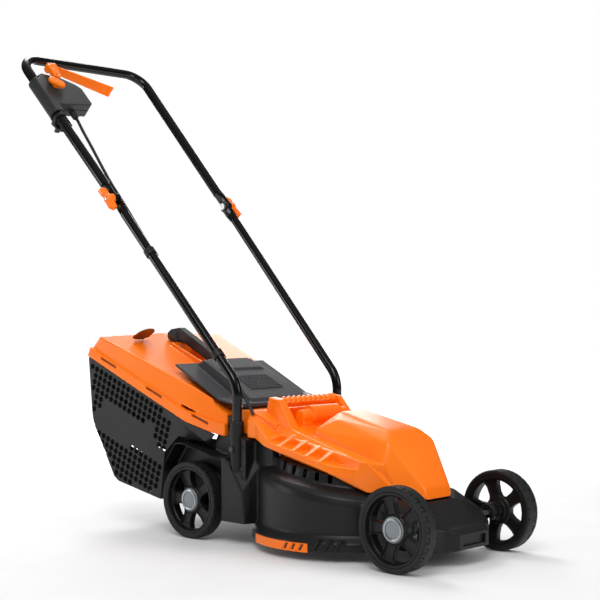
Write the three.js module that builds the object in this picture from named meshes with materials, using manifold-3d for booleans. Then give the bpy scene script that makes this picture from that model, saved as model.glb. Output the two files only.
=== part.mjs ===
// Corded electric push lawn mower: deck, hood, grass box, four wheels and a folding handle.
// Millimetres, +Z up. Working frame: X across (+X is the mower's left), Y backwards from the
// front axle, Z up from the ground. The exported group shifts it so that the origin is the
// middle of the footprint.
import * as THREE from 'three';
import { ConvexGeometry } from 'three/addons/geometries/ConvexGeometry.js';
import { mergeVertices } from 'three/addons/utils/BufferGeometryUtils.js';
import Module from 'manifold-3d';

const wasm = await Module();
wasm.setup();

// ---------------------------------------------------------------- driving dimensions
const GAP = 0.3; // air between two pieces that touch
const WALL = 3; // plastic wall
const MIDDLE_Y = 469; // middle of the footprint, from the front axle

const WHEEL_R = 70;
const WHEEL_OUT = 156; // outer face of a wheel, from the centre plane
const TYRE_W = 29;
const TYRE_INNER_R = 61;
const WHEELBASE = 481.6;
const AXLE_R = 4;
const AXLE_TRAVEL = 24; // how far the axle slots let an axle drop
const SPOKES = 5;

const DRUM_Y = 220; // blade axis
const DECK_SIDES = 32; // flats round the deck
const DRUM_R = 165; // outside of the blade chamber
const SKIRT_R = 177; // outside of the bottom lip
const SKIRT_Z = 18; // lowest edge of the deck
const DECK_SLOPE = 0.153; // the deck's shoulder rises backwards
const SEAT_Z = 93; // where the motor stands
const SEAT_R = 60;
const BLADE_R = 155;

const FOLD = new THREE.Vector3(149, 700, 632); // fold bolt, left side
const HANDLE_CORNER = new THREE.Vector3(163, 997.6, 940.7); // where leg and crossbar meet
const LOWER_BEND = new THREE.Vector3(134, 374.3, 286.1); // knee of the lower tube
const UPPER_TUBE_R = 10;
const CABLE_R = 3.1;
const LOWER_TUBE_R = 8.75;
const SOCKET = { x: 134, y: 374.3, r: 12.5, bottom: 123, top: 220 };

const HINGE = { y: 381, z: 245, r: 2.5 }; // rear flap's hinge rod
const BOX_FRONT = 415; // front edge of the grass box lid
const BOX_FRONT_HALF = 127; // half width of the lid there
const BOX_FLARE = 0.125; // how fast the grass box widens backwards

// ---------------------------------------------------------------- materials
const finish = (color, roughness, metalness = 0) =>
  new THREE.MeshStandardMaterial({ color, roughness, metalness });
const ORANGE = finish(0xff7008, 0.3);
const BLACK_PLASTIC = finish(0x1d1d1e, 0.55);
const DARK_PLASTIC = finish(0x2b2b2d, 0.6);
const GREY_PLASTIC = finish(0x444447, 0.6);
const TYRE_BLACK = finish(0x232324, 0.85);
const BLACK_TUBE = finish(0x0c0c0d, 0.25, 0.3);
const CAP_GREY = finish(0x80868a, 0.35, 0.4);
const STEEL = finish(0xb5b8ba, 0.35, 0.9);
const CABLE_BLACK = finish(0x111112, 0.5);

// ---------------------------------------------------------------- solids and booleans
// Turns a closed three.js geometry into a solid with its faces pointing out.
function solid(geometry) {
  const bare = geometry.clone();
  bare.deleteAttribute('normal');
  bare.deleteAttribute('uv');
  const merged = mergeVertices(bare, 1e-4);
  const points = merged.attributes.position.array;
  const index = Array.from(merged.index.array);
  const triangles = [];
  let volume = 0;
  for (let i = 0; i < index.length; i += 3) {
    const [a, b, c] = index.slice(i, i + 3);
    if (a === b || b === c || c === a) continue;
    triangles.push(a, b, c);
    const [p, q, r] = [a, b, c].map((v) => new THREE.Vector3().fromArray(points, 3 * v));
    volume += p.dot(q.cross(r));
  }
  if (volume < 0) triangles.reverse();
  const mesh = new wasm.Mesh({
    numProp: 3,
    vertProperties: new Float32Array(points),
    triVerts: new Uint32Array(triangles),
  });
  return new wasm.Manifold(mesh);
}

const join = (...solids) => solids.reduce((all, next) => all.add(next));
const cut = (base, ...tools) => tools.reduce((left, tool) => left.subtract(tool), base);

// A solid back as a geometry with flat faces.
function geometryOf(body) {
  const { vertProperties, triVerts } = body.getMesh();
  const geometry = new THREE.BufferGeometry();
  geometry.setAttribute('position', new THREE.BufferAttribute(new Float32Array(vertProperties), 3));
  geometry.setIndex(new THREE.BufferAttribute(new Uint32Array(triVerts), 1));
  geometry.computeVertexNormals();
  return geometry;
}

// ---------------------------------------------------------------- basic shapes
const hull = (points) => solid(new ConvexGeometry(points.map((p) => new THREE.Vector3(...p))));

// Each point and its mirror image across the centre plane.
const bothSides = (points) => points.flatMap(([x, y, z]) => [[x, y, z], [-x, y, z]]);
const onSide = (side, points) => points.map(([x, y, z]) => [side * x, y, z]);

function block([x0, y0, z0], [x1, y1, z1]) {
  const box = new THREE.BoxGeometry(Math.abs(x1 - x0), Math.abs(y1 - y0), Math.abs(z1 - z0));
  box.translate((x0 + x1) / 2, (y0 + y1) / 2, (z0 + z1) / 2);
  return solid(box);
}

const shapeOf = (points) => new THREE.Shape(points.map(([u, v]) => new THREE.Vector2(u, v)));

// An outline with each corner rounded by a short curve.
function rounded(points, radius) {
  const shape = new THREE.Shape();
  const corners = points.map(([u, v]) => new THREE.Vector2(u, v));
  corners.forEach((corner, i) => {
    const before = corners.at(i - 1);
    const after = corners[(i + 1) % corners.length];
    const start = before.clone().sub(corner).setLength(radius).add(corner);
    const end = after.clone().sub(corner).setLength(radius).add(corner);
    if (i === 0) shape.moveTo(start.x, start.y);
    else shape.lineTo(start.x, start.y);
    shape.quadraticCurveTo(corner.x, corner.y, end.x, end.y);
  });
  shape.closePath();
  return shape;
}

const asShape = (outline) => (outline instanceof THREE.Shape ? outline : shapeOf(outline));

function extruded(outline, depth, curveSegments = 2) {
  const settings = { depth, bevelEnabled: false, curveSegments };
  return new THREE.ExtrudeGeometry(asShape(outline), settings);
}

// An outline in the Y-Z plane, extended from x0 to x1.
function across(outline, x0, x1) {
  const geometry = extruded(outline, x1 - x0);
  geometry.applyMatrix4(new THREE.Matrix4().makeBasis(
    new THREE.Vector3(0, 1, 0), new THREE.Vector3(0, 0, 1), new THREE.Vector3(1, 0, 0)));
  geometry.translate(x0, 0, 0);
  return geometry;
}

// An outline in the X-Y plane, extended from z0 to z1.
function upright(outline, z0, z1) {
  const geometry = extruded(outline, z1 - z0);
  geometry.translate(0, 0, z0);
  return geometry;
}

// A closed profile of [radius, height] points, turned about the Z axis.
function turned(profile, segments = 32) {
  const points = [...profile, profile[0]].map(([r, h]) => new THREE.Vector2(r, h));
  const geometry = new THREE.LatheGeometry(points, segments);
  geometry.rotateX(Math.PI / 2);
  return geometry;
}

// The same, turned about the X axis: profile points are [radius, x].
function turnedOnX(profile, segments = 32) {
  const geometry = turned(profile, segments);
  geometry.rotateY(Math.PI / 2);
  return geometry;
}

const cylinderX = (x0, x1, y, z, r, segments = 16) =>
  solid(turnedOnX([[0, x0], [r, x0], [r, x1], [0, x1]], segments).translate(0, y, z));
const cylinderZ = (x, y, z0, z1, r, segments = 16) =>
  solid(turned([[0, z0], [r, z0], [r, z1], [0, z1]], segments).translate(x, y, 0));

// A path of straight runs with rounded corners, with a station at each end of a run and
// a few round each bend.
class BentPath extends THREE.Curve {
  constructor(corners, radius, bendSteps = 5) {
    super();
    this.stations = [{ point: corners[0], tangent: this.direction(corners[0], corners[1]) }];
    for (let i = 1; i < corners.length - 1; i += 1) {
      this.addBend(corners[i - 1], corners[i], corners[i + 1], radius, bendSteps);
    }
    const last = corners.length - 1;
    this.stations.push({
      point: corners[last],
      tangent: this.direction(corners[last - 1], corners[last]),
    });
  }

  direction(from, to) {
    return to.clone().sub(from).normalize();
  }

  addBend(before, corner, after, radius, steps) {
    const arriving = this.direction(before, corner);
    const leaving = this.direction(corner, after);
    const turn = arriving.angleTo(leaving);
    const start = corner.clone().addScaledVector(arriving, -radius * Math.tan(turn / 2));
    const inward = leaving.clone().addScaledVector(arriving, -leaving.dot(arriving)).normalize();
    for (let k = 0; k <= steps; k += 1) {
      const angle = (turn * k) / steps;
      const point = start.clone()
        .addScaledVector(arriving, radius * Math.sin(angle))
        .addScaledVector(inward, radius * (1 - Math.cos(angle)));
      const tangent = arriving.clone().multiplyScalar(Math.cos(angle))
        .addScaledVector(inward, Math.sin(angle));
      this.stations.push({ point, tangent });
    }
  }

  get steps() {
    return this.stations.length - 1;
  }

  getPoint(t) {
    const at = t * this.steps;
    const i = Math.min(Math.floor(at + 1e-9), this.steps - 1);
    return this.stations[i].point.clone().lerp(this.stations[i + 1].point, at - i);
  }

  getPointAt(t) {
    return this.getPoint(t);
  }

  getTangentAt(t) {
    return this.stations[Math.round(t * this.steps)].tangent.clone();
  }
}

// A round bar along a path.
function bar(path, radius, sides = 12, steps = path.steps) {
  const section = new THREE.Shape();
  section.absarc(0, 0, radius, 0, 2 * Math.PI);
  return new THREE.ExtrudeGeometry(section, {
    steps, extrudePath: path, curveSegments: sides / 2, bevelEnabled: false,
  });
}

// ---------------------------------------------------------------- the assembly
const mower = new THREE.Group();
const chassis = new THREE.Group();
chassis.position.y = -MIDDLE_Y;
mower.add(chassis);

function part(name, shape, material, parent = chassis) {
  const geometry = shape instanceof THREE.BufferGeometry ? shape : geometryOf(shape);
  const mesh = new THREE.Mesh(geometry, material);
  mesh.name = name;
  parent.add(mesh);
  return mesh;
}

const SIDES = [['left', 1], ['right', -1]];

// ---------------------------------------------------------------- deck
// The deck's round body leans: points above the skirt rise towards the back, except over
// the flat motor seat.
function leaned(geometry) {
  const position = geometry.attributes.position;
  for (let i = 0; i < position.count; i += 1) {
    const [x, y, z] = [position.getX(i), position.getY(i), position.getZ(i)];
    const lift = THREE.MathUtils.clamp((z - 44) / (110 - 44), 0, 1);
    const outside = THREE.MathUtils.clamp((Math.hypot(x, y) - 64) / 36, 0, 1);
    position.setZ(i, z + DECK_SLOPE * y * lift * outside);
  }
  return geometry;
}

// Outside of the round body, grown by an even margin.
function drum(margin = 0) {
  const m = margin;
  const profile = [
    [0, SKIRT_Z], [SKIRT_R, SKIRT_Z], [SKIRT_R, 31], [168, 40], [DRUM_R + m, 44],
    [DRUM_R + m, 108], [162 + m, 119 + m], [155 + m, 126 + m], [140 + m, 133 + m],
    [137 + m, 150 + m], [116, 156 + m], [64, 156 + m], [0, 156 + m],
  ];
  return solid(leaned(turned(profile, DECK_SIDES)).translate(0, DRUM_Y, 0));
}

function bladeChamber() {
  const profile = [
    [0, SKIRT_Z - 8], [SKIRT_R - 4, SKIRT_Z - 8], [SKIRT_R - 4, 28], [163, 37],
    [DRUM_R - WALL, 44], [DRUM_R - WALL, 106], [159, 116], [152, 122.5], [137, 129.5],
    [133.5, 147], [113, 152.5], [64, 152.5], [SEAT_R, SEAT_Z - 5], [0, SEAT_Z - 5],
  ];
  return solid(leaned(turned(profile, DECK_SIDES)).translate(0, DRUM_Y, 0));
}

// Height of the deck's top plate at a point near its rim.
const plateTop = (y) => 156 + DECK_SLOPE * (y - DRUM_Y);

const NOSE_EDGE = [[75, -24], [56, -30], [30, -34]]; // front edge seen from above
const NOSE = bothSides([
  ...NOSE_EDGE.map(([x, y]) => [x, y, 23]),
  ...NOSE_EDGE.map(([x, y]) => [x, y, 61]),
  [112, 8, 30], [112, 8, 60], [86, 3, 80], [97, 40, 90], [112, 40, 76], [40, 20, 99],
  [92, 62, 106], [112, 62, 92], [112, 110, 92], [90, 110, 112], [112, 110, 30],
]);
const NOSE_HOLLOW = bothSides([
  [70, -19, 12], [30, -29, 12], [70, -19, 56], [30, -29, 57], [107, 11, 12], [107, 11, 56],
  [84, 6, 76], [94, 42, 85], [107, 43, 72], [40, 22, 94], [89, 63, 101], [107, 63, 88],
  [107, 110, 88], [88, 110, 107], [107, 110, 12],
]);

// Rear body between the back wheels, with the chute that feeds the grass box.
const TAIL = [[300, 45], [300, 186], [379, 188], [391, 210], [431, 212], [447, 180], [447, 93],
  [400, 62], [385, 45]];
const CHUTE = [[290, 50], [290, 176], [372, 184], [392, 206], [455, 208], [455, 98], [398, 68],
  [384, 50]];

// Towers beside the tail, which hold the handle sockets.
const TOWER = [
  [112, 330, 40], [148, 342, 40], [150, 346, 96], [148, 384, 147], [148, 402, 152],
  [148, 402, 40], [112, 402, 40], [112, 402, 152], [112, 330, 150],
];
const TOWER_CREST = [
  [112, 345, 120], [142, 345, 120], [142, 345, 189], [112, 345, 189],
  [112, 401, 120], [130, 401, 120], [130, 401, 205], [112, 401, 205],
];

// Mudguard over each back wheel, as [y, z] points along its top.
const GUARD = [[388, 153], [427, 154], [441, 159], [507, 173], [524, 172], [550, 138], [556, 120]];
const guardOutline = [...GUARD, ...GUARD.slice().reverse().map(([y, z]) => [y - 1, z - WALL])];
const guardPlate = [[388, 40], [388, 153], ...GUARD.slice(1), [552, 60], [500, 40]];

// The round boss and upright slot that hold an axle in a side wall.
function axleSlot(side, y, x0, x1) {
  const r = AXLE_R + GAP;
  const low = WHEEL_R - AXLE_TRAVEL;
  const round = (z) => cylinderX(side * x0, side * x1, y, z, r, 12);
  const middle = block([side * x0, y - r, low], [side * x1, y + r, WHEEL_R]);
  return join(round(WHEEL_R), round(low), middle);
}

function accentOutline(side, inner, outer, from, to, steps = 8) {
  const arc = (r, reverse) => Array.from({ length: steps + 1 }, (_, k) => {
    const share = reverse ? 1 - k / steps : k / steps;
    const angle = THREE.MathUtils.degToRad(from + (to - from) * share);
    return [side * r * Math.sin(angle), DRUM_Y - r * Math.cos(angle)];
  });
  return [...arc(inner, false), ...arc(outer, true)];
}

function deckHousing() {
  const shells = [drum(), hull(NOSE), solid(across(TAIL, -118, 118))];
  const cavities = [
    bladeChamber(),
    cut(hull(NOSE_HOLLOW), cylinderZ(0, DRUM_Y, 0, 200, DRUM_R - 1, DECK_SIDES)),
    solid(across(CHUTE, -113, 113)),
    cylinderZ(0, DRUM_Y, SEAT_Z - 20, SEAT_Z + 10, 14, 24),
    solid(turned([[0, SEAT_Z], [SEAT_R - 4, SEAT_Z], [SEAT_R, 220], [0, 220]], 32)
      .translate(0, DRUM_Y, 0)),
  ];
  for (const [, side] of SIDES) {
    shells.push(hull(onSide(side, TOWER)), hull(onSide(side, TOWER_CREST)));
    const [inner, outer] = side > 0 ? [113, 118] : [-118, -113];
    shells.push(solid(across(guardPlate, inner, outer)));
    shells.push(solid(across(guardOutline, ...(side > 0 ? [114, 150] : [-150, -114]))));
    shells.push(cylinderX(side * 104, side * 117, 0, WHEEL_R, 15, 20));
    cavities.push(axleSlot(side, 0, 0, 125), axleSlot(side, WHEELBASE, 90, 130));
    cavities.push(cylinderZ(side * SOCKET.x, SOCKET.y, SOCKET.bottom - GAP, 300,
      SOCKET.r + GAP, 24));
    cavities.push(cylinderX(side * 118.5, side * 155, SOCKET.y, 170, 5.4, 12));
    cavities.push(...VENTS.map((angle) => vent(side, angle)));
    cavities.push(...HOOD_SCREWS.map(([x, y]) => cylinderZ(side * x, y, 100, 250, 2.8, 10)));
    const pocket = accentOutline(side, SKIRT_R - 2.4 - GAP, SKIRT_R + 5, ACCENT_FROM, ACCENT_TO);
    cavities.push(solid(upright(pocket, SKIRT_Z - 5, 30 + GAP)));
    shells.push(...RIBS.map((angle) => skirtRib(side, angle)));
  }
  return cut(join(...shells), ...cavities);
}

// Cooling slots in the wall below the hood, as angles from straight ahead.
const VENTS = [64, 74, 84, 95, 107];
function vent(side, degrees) {
  const angle = THREE.MathUtils.degToRad(degrees);
  const y = DRUM_Y - 138 * Math.cos(angle);
  const foot = 137 + DECK_SLOPE * (y - DRUM_Y);
  const slot = new THREE.BoxGeometry(14, 7, 13);
  slot.translate(138, 0, foot + 6.5);
  slot.rotateZ(angle - Math.PI / 2);
  if (side < 0) slot.applyMatrix4(new THREE.Matrix4().makeScale(-1, 1, 1));
  return solid(slot.translate(0, DRUM_Y, 0));
}

// Orange strip let into the skirt, and the ribs ahead of it.
const ACCENT_FROM = 73;
const ACCENT_TO = 119;
const RIBS = [66, 60, 54];
function skirtRib(side, degrees) {
  const angle = THREE.MathUtils.degToRad(degrees);
  const rib = new THREE.BoxGeometry(10, 7, 12);
  rib.translate(SKIRT_R - 5, 0, 30);
  rib.rotateZ(angle - Math.PI / 2);
  if (side < 0) rib.applyMatrix4(new THREE.Matrix4().makeScale(-1, 1, 1));
  return solid(rib.translate(0, DRUM_Y, 0));
}

function skirtAccent(side) {
  const outline = accentOutline(
    side, SKIRT_R - 2.4, SKIRT_R + 0.8, ACCENT_FROM + 0.3, ACCENT_TO - 0.3);
  const base = solid(upright(outline, SKIRT_Z - 3, 30));
  const slots = [78, 83, 88].map((degrees) => {
    const angle = THREE.MathUtils.degToRad(degrees);
    const slot = new THREE.BoxGeometry(3, 5, 20);
    slot.rotateX(0.6);
    slot.translate(SKIRT_R + 1.2, 0, 22);
    slot.rotateZ(angle - Math.PI / 2);
    if (side < 0) slot.applyMatrix4(new THREE.Matrix4().makeScale(-1, 1, 1));
    return solid(slot.translate(0, DRUM_Y, 0));
  });
  return cut(base, ...slots);
}

// ---------------------------------------------------------------- hood
const HUMP = bothSides([
  [32, 218, 240.5], [29, 112, 217], [55, 205, 228], [55, 103, 204], [78, 240, 209],
  [76, 84, 160], [40, 97, 213], [60, 84, 196], [38, 45, 126], [34, 23, 102], [34, 28, 122],
  [70, 60, 116], [60, 46, 104], [78, 240, 150], [76, 84, 112],
]);
const RIDGE = bothSides([
  [90, 312, 216], [90, 312, 160], [78, 84, 160], [102, 312, 202], [98, 104, 163],
  [102, 312, 160], [98, 104, 130], [78, 84, 130],
]);
const LEDGE = bothSides([
  [137, 304, 180], [137, 292, 191], [133, 165, 148], [132, 165, 161], [102, 312, 202],
  [102, 312, 180], [98, 103, 165], [110, 118, 135], [109, 118, 149], [98, 99, 114],
  [70, 60, 116],
]);
const SHOULDER = bothSides([
  [119, 377, 239], [119, 377, 191], [119, 350, 238], [100, 308, 216], [100, 308, 180],
  [119, 350, 191],
]);
const PILLAR = [
  [116, 330, 191], [129, 334, 191], [129, 353, 191], [116, 358, 191], [116, 330, 222],
  [129, 334, 221], [129, 353, 221], [116, 358, 234],
];
const CHEEK = [
  [129, 334, 221], [129, 334, 191], [137, 304, 180], [137, 292, 191], [102, 312, 202],
  [102, 312, 180], [116, 340, 226], [116, 340, 191],
];
const STRUT = [
  [70, 279, 206], [92, 279, 206], [70, 318, 214], [94, 322, 214], [70, 316, 258], [84, 318, 257],
  [70, 340, 262], [86, 342, 261], [90, 348, 226], [70, 348, 226],
];

// Points pulled a wall's thickness towards the middle, and repeated far below, so that the
// hollow they span is open underneath.
function hollowOf(points, wall = WALL) {
  const middle = new THREE.Vector3();
  points.forEach((p) => middle.add(new THREE.Vector3(...p)));
  middle.divideScalar(points.length);
  const pulled = points.map((p) => {
    const towards = middle.clone().sub(new THREE.Vector3(...p));
    return new THREE.Vector3(...p).addScaledVector(towards.normalize(), wall * 1.5).toArray();
  });
  return hull([...pulled, ...pulled.map(([x, y, z]) => [x, y, z - 90])]);
}

const FINS = [272, 242, 211, 180];
function ledgeFin(side, y) {
  const drop = 0.226 * (304 - y);
  return hull(onSide(side, [
    [100, y - 8, 208 - drop], [100, y + 8, 208 - drop], [134, y - 3, 193 - drop],
    [134, y + 3, 193 - drop], [100, y - 8, 190 - drop], [100, y + 8, 190 - drop],
    [134, y - 3, 184 - drop], [134, y + 3, 184 - drop],
  ]));
}

const HOOD_SCREWS = [[100, 300], [70, 118]];
function hoodScrew(x, y) {
  const seat = plateTop(y) - 9;
  return join(cylinderZ(x, y, seat - 4, seat, 4.5, 10), cylinderZ(x, y, seat - 1, seat + 29, 2, 10));
}

function motorHood() {
  const masses = [hull(HUMP), hull(RIDGE), hull(LEDGE), hull(SHOULDER)];
  const hollows = [hollowOf(HUMP), hollowOf(RIDGE), hollowOf(LEDGE), hollowOf(SHOULDER)];
  for (const [, side] of SIDES) {
    masses.push(hull(onSide(side, PILLAR)), hull(onSide(side, CHEEK)), hull(onSide(side, STRUT)));
    masses.push(...FINS.map((y) => ledgeFin(side, y)));
    hollows.push(hollowOf(onSide(side, CHEEK)));
  }
  const grip = cylinderX(-72, 72, 330, 251.5, 9.5, 12);
  const motorBump = join(cylinderX(-37, 37, 290, 230, 17, 16), cylinderX(-60, 60, 290, 228, 12, 12),
    block([-60, 280, 196], [60, 300, 226]));
  const outside = join(...masses, motorBump);
  const fingerGap = block([-66, 304, 216], [66, 351, 290]);
  const bosses = SIDES.flatMap(([, side]) => HOOD_SCREWS.map(([x, y]) =>
    cylinderZ(side * x, y, plateTop(y) + 1, 260, 7, 12).intersect(outside)));
  const screwHoles = SIDES.flatMap(([, side]) => HOOD_SCREWS.map(([x, y]) =>
    cylinderZ(side * x, y, 100, plateTop(y) + 24, 2.3, 10)));
  const shell = join(cut(outside, ...hollows), ...bosses);
  const underside = cut(shell, fingerGap, drum(GAP), block([-118.4, 298, 100], [118.4, 447, 188.5]),
    ...screwHoles, cylinderZ(-CABLE_ENTRY.x, CABLE_ENTRY.y, 180, 260, 3.7, 10));
  const clear = SIDES.map(([, side]) => hull(onSide(side, TOWER_CREST.map(([x, y, z]) =>
    [x + (x > 120 ? 0.6 : -0.6), y + (y < 350 ? -0.5 : 0.5), z + 0.5]))));
  return join(cut(underside, ...clear), grip);
}

const CABLE_ENTRY = new THREE.Vector3(122, 345, 231);

// ---------------------------------------------------------------- motor and blade
const SHAFT_R = 6;
const SHAFT_TOP = 178;
const BOLT_R = 4;

function motorCan() {
  const can = turned([[0, SEAT_Z + GAP], [42, SEAT_Z + GAP], [44, SEAT_Z + 6], [44, 178],
    [36, 190], [0, 190]], 32);
  return cut(solid(can), cylinderZ(0, 0, 60, SHAFT_TOP + 2, SHAFT_R + GAP, 16));
}

const motorShaft = () => cut(
  cylinderZ(0, 0, 43.6, SHAFT_TOP, SHAFT_R, 16), cylinderZ(0, 0, 30, 66, BOLT_R + GAP, 12));

function bladeBar() {
  const body = block([-BLADE_R + 20, -21, 40.3], [BLADE_R - 20, 21, 43.3]);
  const tips = [1, -1].map((end) => hull([
    [end * (BLADE_R - 21), -21, 40.3], [end * (BLADE_R - 21), 21, 40.3],
    [end * (BLADE_R - 21), -21, 43.3], [end * (BLADE_R - 21), 21, 43.3],
    [end * BLADE_R, -end * 14, 40.3], [end * BLADE_R, -end * 14, 43.3],
    [end * BLADE_R, end * 10, 52], [end * BLADE_R, end * 10, 55],
  ]));
  return cut(join(body, ...tips), cylinderZ(0, 0, 30, 60, 4.3, 16));
}

function bladeCarrier() {
  const hub = solid(turned([[6.3, 44], [20, 44], [20, 56], [62, 57], [62, 60], [20, 62],
    [20, 72], [6.3, 72]], 32));
  const vanes = Array.from({ length: 8 }, (_, k) => {
    const vane = new THREE.BoxGeometry(38, 2.4, 14);
    vane.translate(41, 0, 66);
    vane.rotateZ((k * Math.PI) / 4);
    return solid(vane);
  });
  return join(hub, ...vanes);
}

function hexPrism(r, z0, z1) {
  return solid(turned([[0, z0], [r, z0], [r, z1], [0, z1]], 6));
}

// ---------------------------------------------------------------- wheels
// A wheel's parts are made round the X axis with its outer side towards +X.
const HUB_IN = -22;
const FACE = TYRE_W / 2;

function wheelRim() {
  const body = solid(turnedOnX([
    [AXLE_R + GAP, HUB_IN], [15, HUB_IN], [20, -6], [52, -4], [55, -FACE + 1],
    [TYRE_INNER_R - GAP, -FACE + 1], [TYRE_INNER_R - GAP, FACE], [57, FACE], [52, 5], [24, 6],
    [22, 8], [AXLE_R + GAP, 8],
  ], 30));
  const windows = Array.from({ length: SPOKES }, (_, k) => {
    const angle = THREE.MathUtils.degToRad(72 * k);
    const shape = rounded([[26, -10], [26, 10], [46, 20], [52, 0], [46, -20]], 5);
    const tool = across(shape, -30, 30);
    tool.rotateX(angle);
    return solid(tool);
  });
  return cut(body, ...windows);
}

const tyre = () => turnedOnX([
  [TYRE_INNER_R, -13], [66, -FACE], [68.6, -FACE + 1], [WHEEL_R, -10.5], [WHEEL_R, 10.5],
  [68.6, FACE - 1], [66, FACE], [TYRE_INNER_R, 13.6],
], 30);

const hubCap = () => turnedOnX([
  [0, 8 + GAP], [21, 8 + GAP], [21, 10.5], [18.5, 12.5], [15, 11], [0, 11],
], 20);

function addWheel(name, side, y) {
  const wheel = new THREE.Group();
  wheel.position.set(side * (WHEEL_OUT - FACE), y, WHEEL_R);
  // Turned so that a spoke points at 36 degrees above straight ahead on both sides.
  wheel.rotation.set(0, side > 0 ? 0 : Math.PI, 0);
  chassis.add(wheel);
  const tilt = new THREE.Group();
  tilt.rotation.x = side > 0 ? Math.PI : 0;
  wheel.add(tilt);
  part(`${name}_rim`, wheelRim(), BLACK_PLASTIC, tilt);
  part(`${name}_tyre`, solid(tyre()), TYRE_BLACK, tilt);
  part(`${name}_hub_cap`, solid(hubCap()), CAP_GREY, tilt);
}

// ---------------------------------------------------------------- handle
const handleDirection = HANDLE_CORNER.clone().sub(FOLD).normalize();
const HANDLE_TILT = Math.atan2(handleDirection.y, handleDirection.z); // away from upright
const lowerDirection = FOLD.clone().sub(LOWER_BEND).normalize();
const mirrorX = (v) => new THREE.Vector3(-v.x, v.y, v.z);
const forSide = (side, v) => (side > 0 ? v.clone() : mirrorX(v));

// The flattened end of a tube at the fold bolt, running a little past it.
function flatTab(side, direction, x0, x1, tubeR) {
  const along = (s, dx, w) => {
    const centre = forSide(side, FOLD).addScaledVector(forSide(side, direction), s);
    const sideways = new THREE.Vector3(0, -direction.z, direction.y).normalize();
    return centre.addScaledVector(sideways, w).setX(side * dx).toArray();
  };
  const tab = [];
  for (const x of [x0, x1]) {
    for (const [s, w] of [[-12, -6], [-12, 6], [-5, -12], [-5, 12], [22, -12], [22, 12]]) {
      tab.push(along(s, x, w));
    }
  }
  const neckEnd = forSide(side, FOLD).addScaledVector(forSide(side, direction), 52);
  const neck = [];
  for (const x of [x0, x1]) {
    for (const w of [-12, 12]) neck.push(along(20, x, w));
  }
  for (let k = 0; k < 8; k += 1) {
    const angle = (k * Math.PI) / 4;
    const out = new THREE.Vector3(1, 0, 0);
    const over = new THREE.Vector3(0, -direction.z, direction.y).normalize();
    neck.push(neckEnd.clone().addScaledVector(out, tubeR * 0.85 * Math.cos(angle + 0.2))
      .addScaledVector(over, tubeR * 0.85 * Math.sin(angle + 0.2)).toArray());
  }
  return join(hull(tab), hull(neck));
}

const boltHole = (side) => cylinderX(side * 120, side * 180, FOLD.y, FOLD.z, 3.3, 12);

function upperHandle() {
  const start = FOLD.clone().addScaledVector(handleDirection, 40);
  const path = new BentPath(
    [start, HANDLE_CORNER, mirrorX(HANDLE_CORNER), mirrorX(start)], 42, 6);
  const tabs = SIDES.map(([, side]) =>
    flatTab(side, handleDirection, 149.3, 155, UPPER_TUBE_R));
  const holes = SIDES.map(([, side]) => boltHole(side));
  return cut(join(solid(bar(path, UPPER_TUBE_R, 12)), ...tabs), ...holes);
}

function lowerHandle(side) {
  const end = FOLD.clone().addScaledVector(lowerDirection, -40);
  const foot = new THREE.Vector3(LOWER_BEND.x, SOCKET.y, SOCKET.bottom + 12);
  const path = new BentPath([foot, LOWER_BEND, end].map((p) => forSide(side, p)), 60, 5);
  const down = lowerDirection.clone().negate();
  const tab = flatTab(side, down, 143, 148.7, LOWER_TUBE_R);
  const screw = cylinderX(side * 100, side * 170, SOCKET.y, 170, 2.8, 10);
  return cut(join(solid(bar(path, LOWER_TUBE_R, 12)), tab), boltHole(side), screw);
}

function handleSocket(side) {
  const { x, y, r, bottom, top } = SOCKET;
  const sleeve = solid(turned([
    [LOWER_TUBE_R + 1.2, bottom], [r, bottom], [r, top - 3], [r - 1.5, top],
    [LOWER_TUBE_R + 1.2, top],
  ], 20).translate(side * x, y, 0));
  return cut(sleeve, cylinderX(side * 100, side * 170, SOCKET.y, 170, 2.8, 10));
}

function socketScrew(side) {
  const x0 = side * (SOCKET.x - 13);
  const shank = cylinderX(x0, side * (SOCKET.x + SOCKET.r + 1), SOCKET.y, 170, 2.5, 10);
  const head = cylinderX(side * (SOCKET.x + SOCKET.r + GAP), side * (SOCKET.x + SOCKET.r + 4),
    SOCKET.y, 170, 5, 12);
  return join(shank, head);
}

function foldBolt(side) {
  const shank = cylinderX(side * 141, side * 172, FOLD.y, FOLD.z, 3, 12);
  const head = cylinderX(side * 137, side * (143 - GAP), FOLD.y, FOLD.z, 7, 12);
  return join(shank, head);
}

// Two-winged nut, about its own X axis with its seat at x = 0.
function wingNut() {
  const hub = solid(turnedOnX([[3.3, 0], [11, 0], [10, 12], [7, 16], [3.3, 16]], 20));
  const wing = (side) => hull([
    [3, -6, side * 4], [14, -5, side * 5], [3, 6, side * 4], [14, 5, side * 5],
    [5, -5, side * 26], [5, 5, side * 26], [12, -4, side * 29], [12, 4, side * 29],
    [21, -3.5, side * 24], [21, 3.5, side * 24], [20, -3.5, side * 11], [20, 3.5, side * 11],
  ]);
  const bore = solid(turnedOnX([[0, -1], [3.3, -1], [3.3, 30], [0, 30]], 12));
  return cut(join(hub, wing(1), wing(-1)), bore);
}

// ---------------------------------------------------------------- switch box
// Its own frame: Y along the handle leg, X inwards, Z out of the handle's plane, with the
// leg's centreline through the origin.
const SWITCH = { above: -64, below: -166, inner: 100, sleeve: 16.5, top: 14, bottom: -18 };
const PIVOT = { x: 44, y: -74, r: 3 };
const BUTTON = { x: 31, y: -99, stem: 8 };
const BUTTON_TRAVEL = 4;
const GLAND = { x: 52, y: -159, z: -6, r: 5.3 };
const LEVER_SECTIONS = [
  { x: 74, y: -30, half: 10, thick: 5 },
  { x: 192, y: -84, half: 14, thick: 6 },
];

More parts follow.
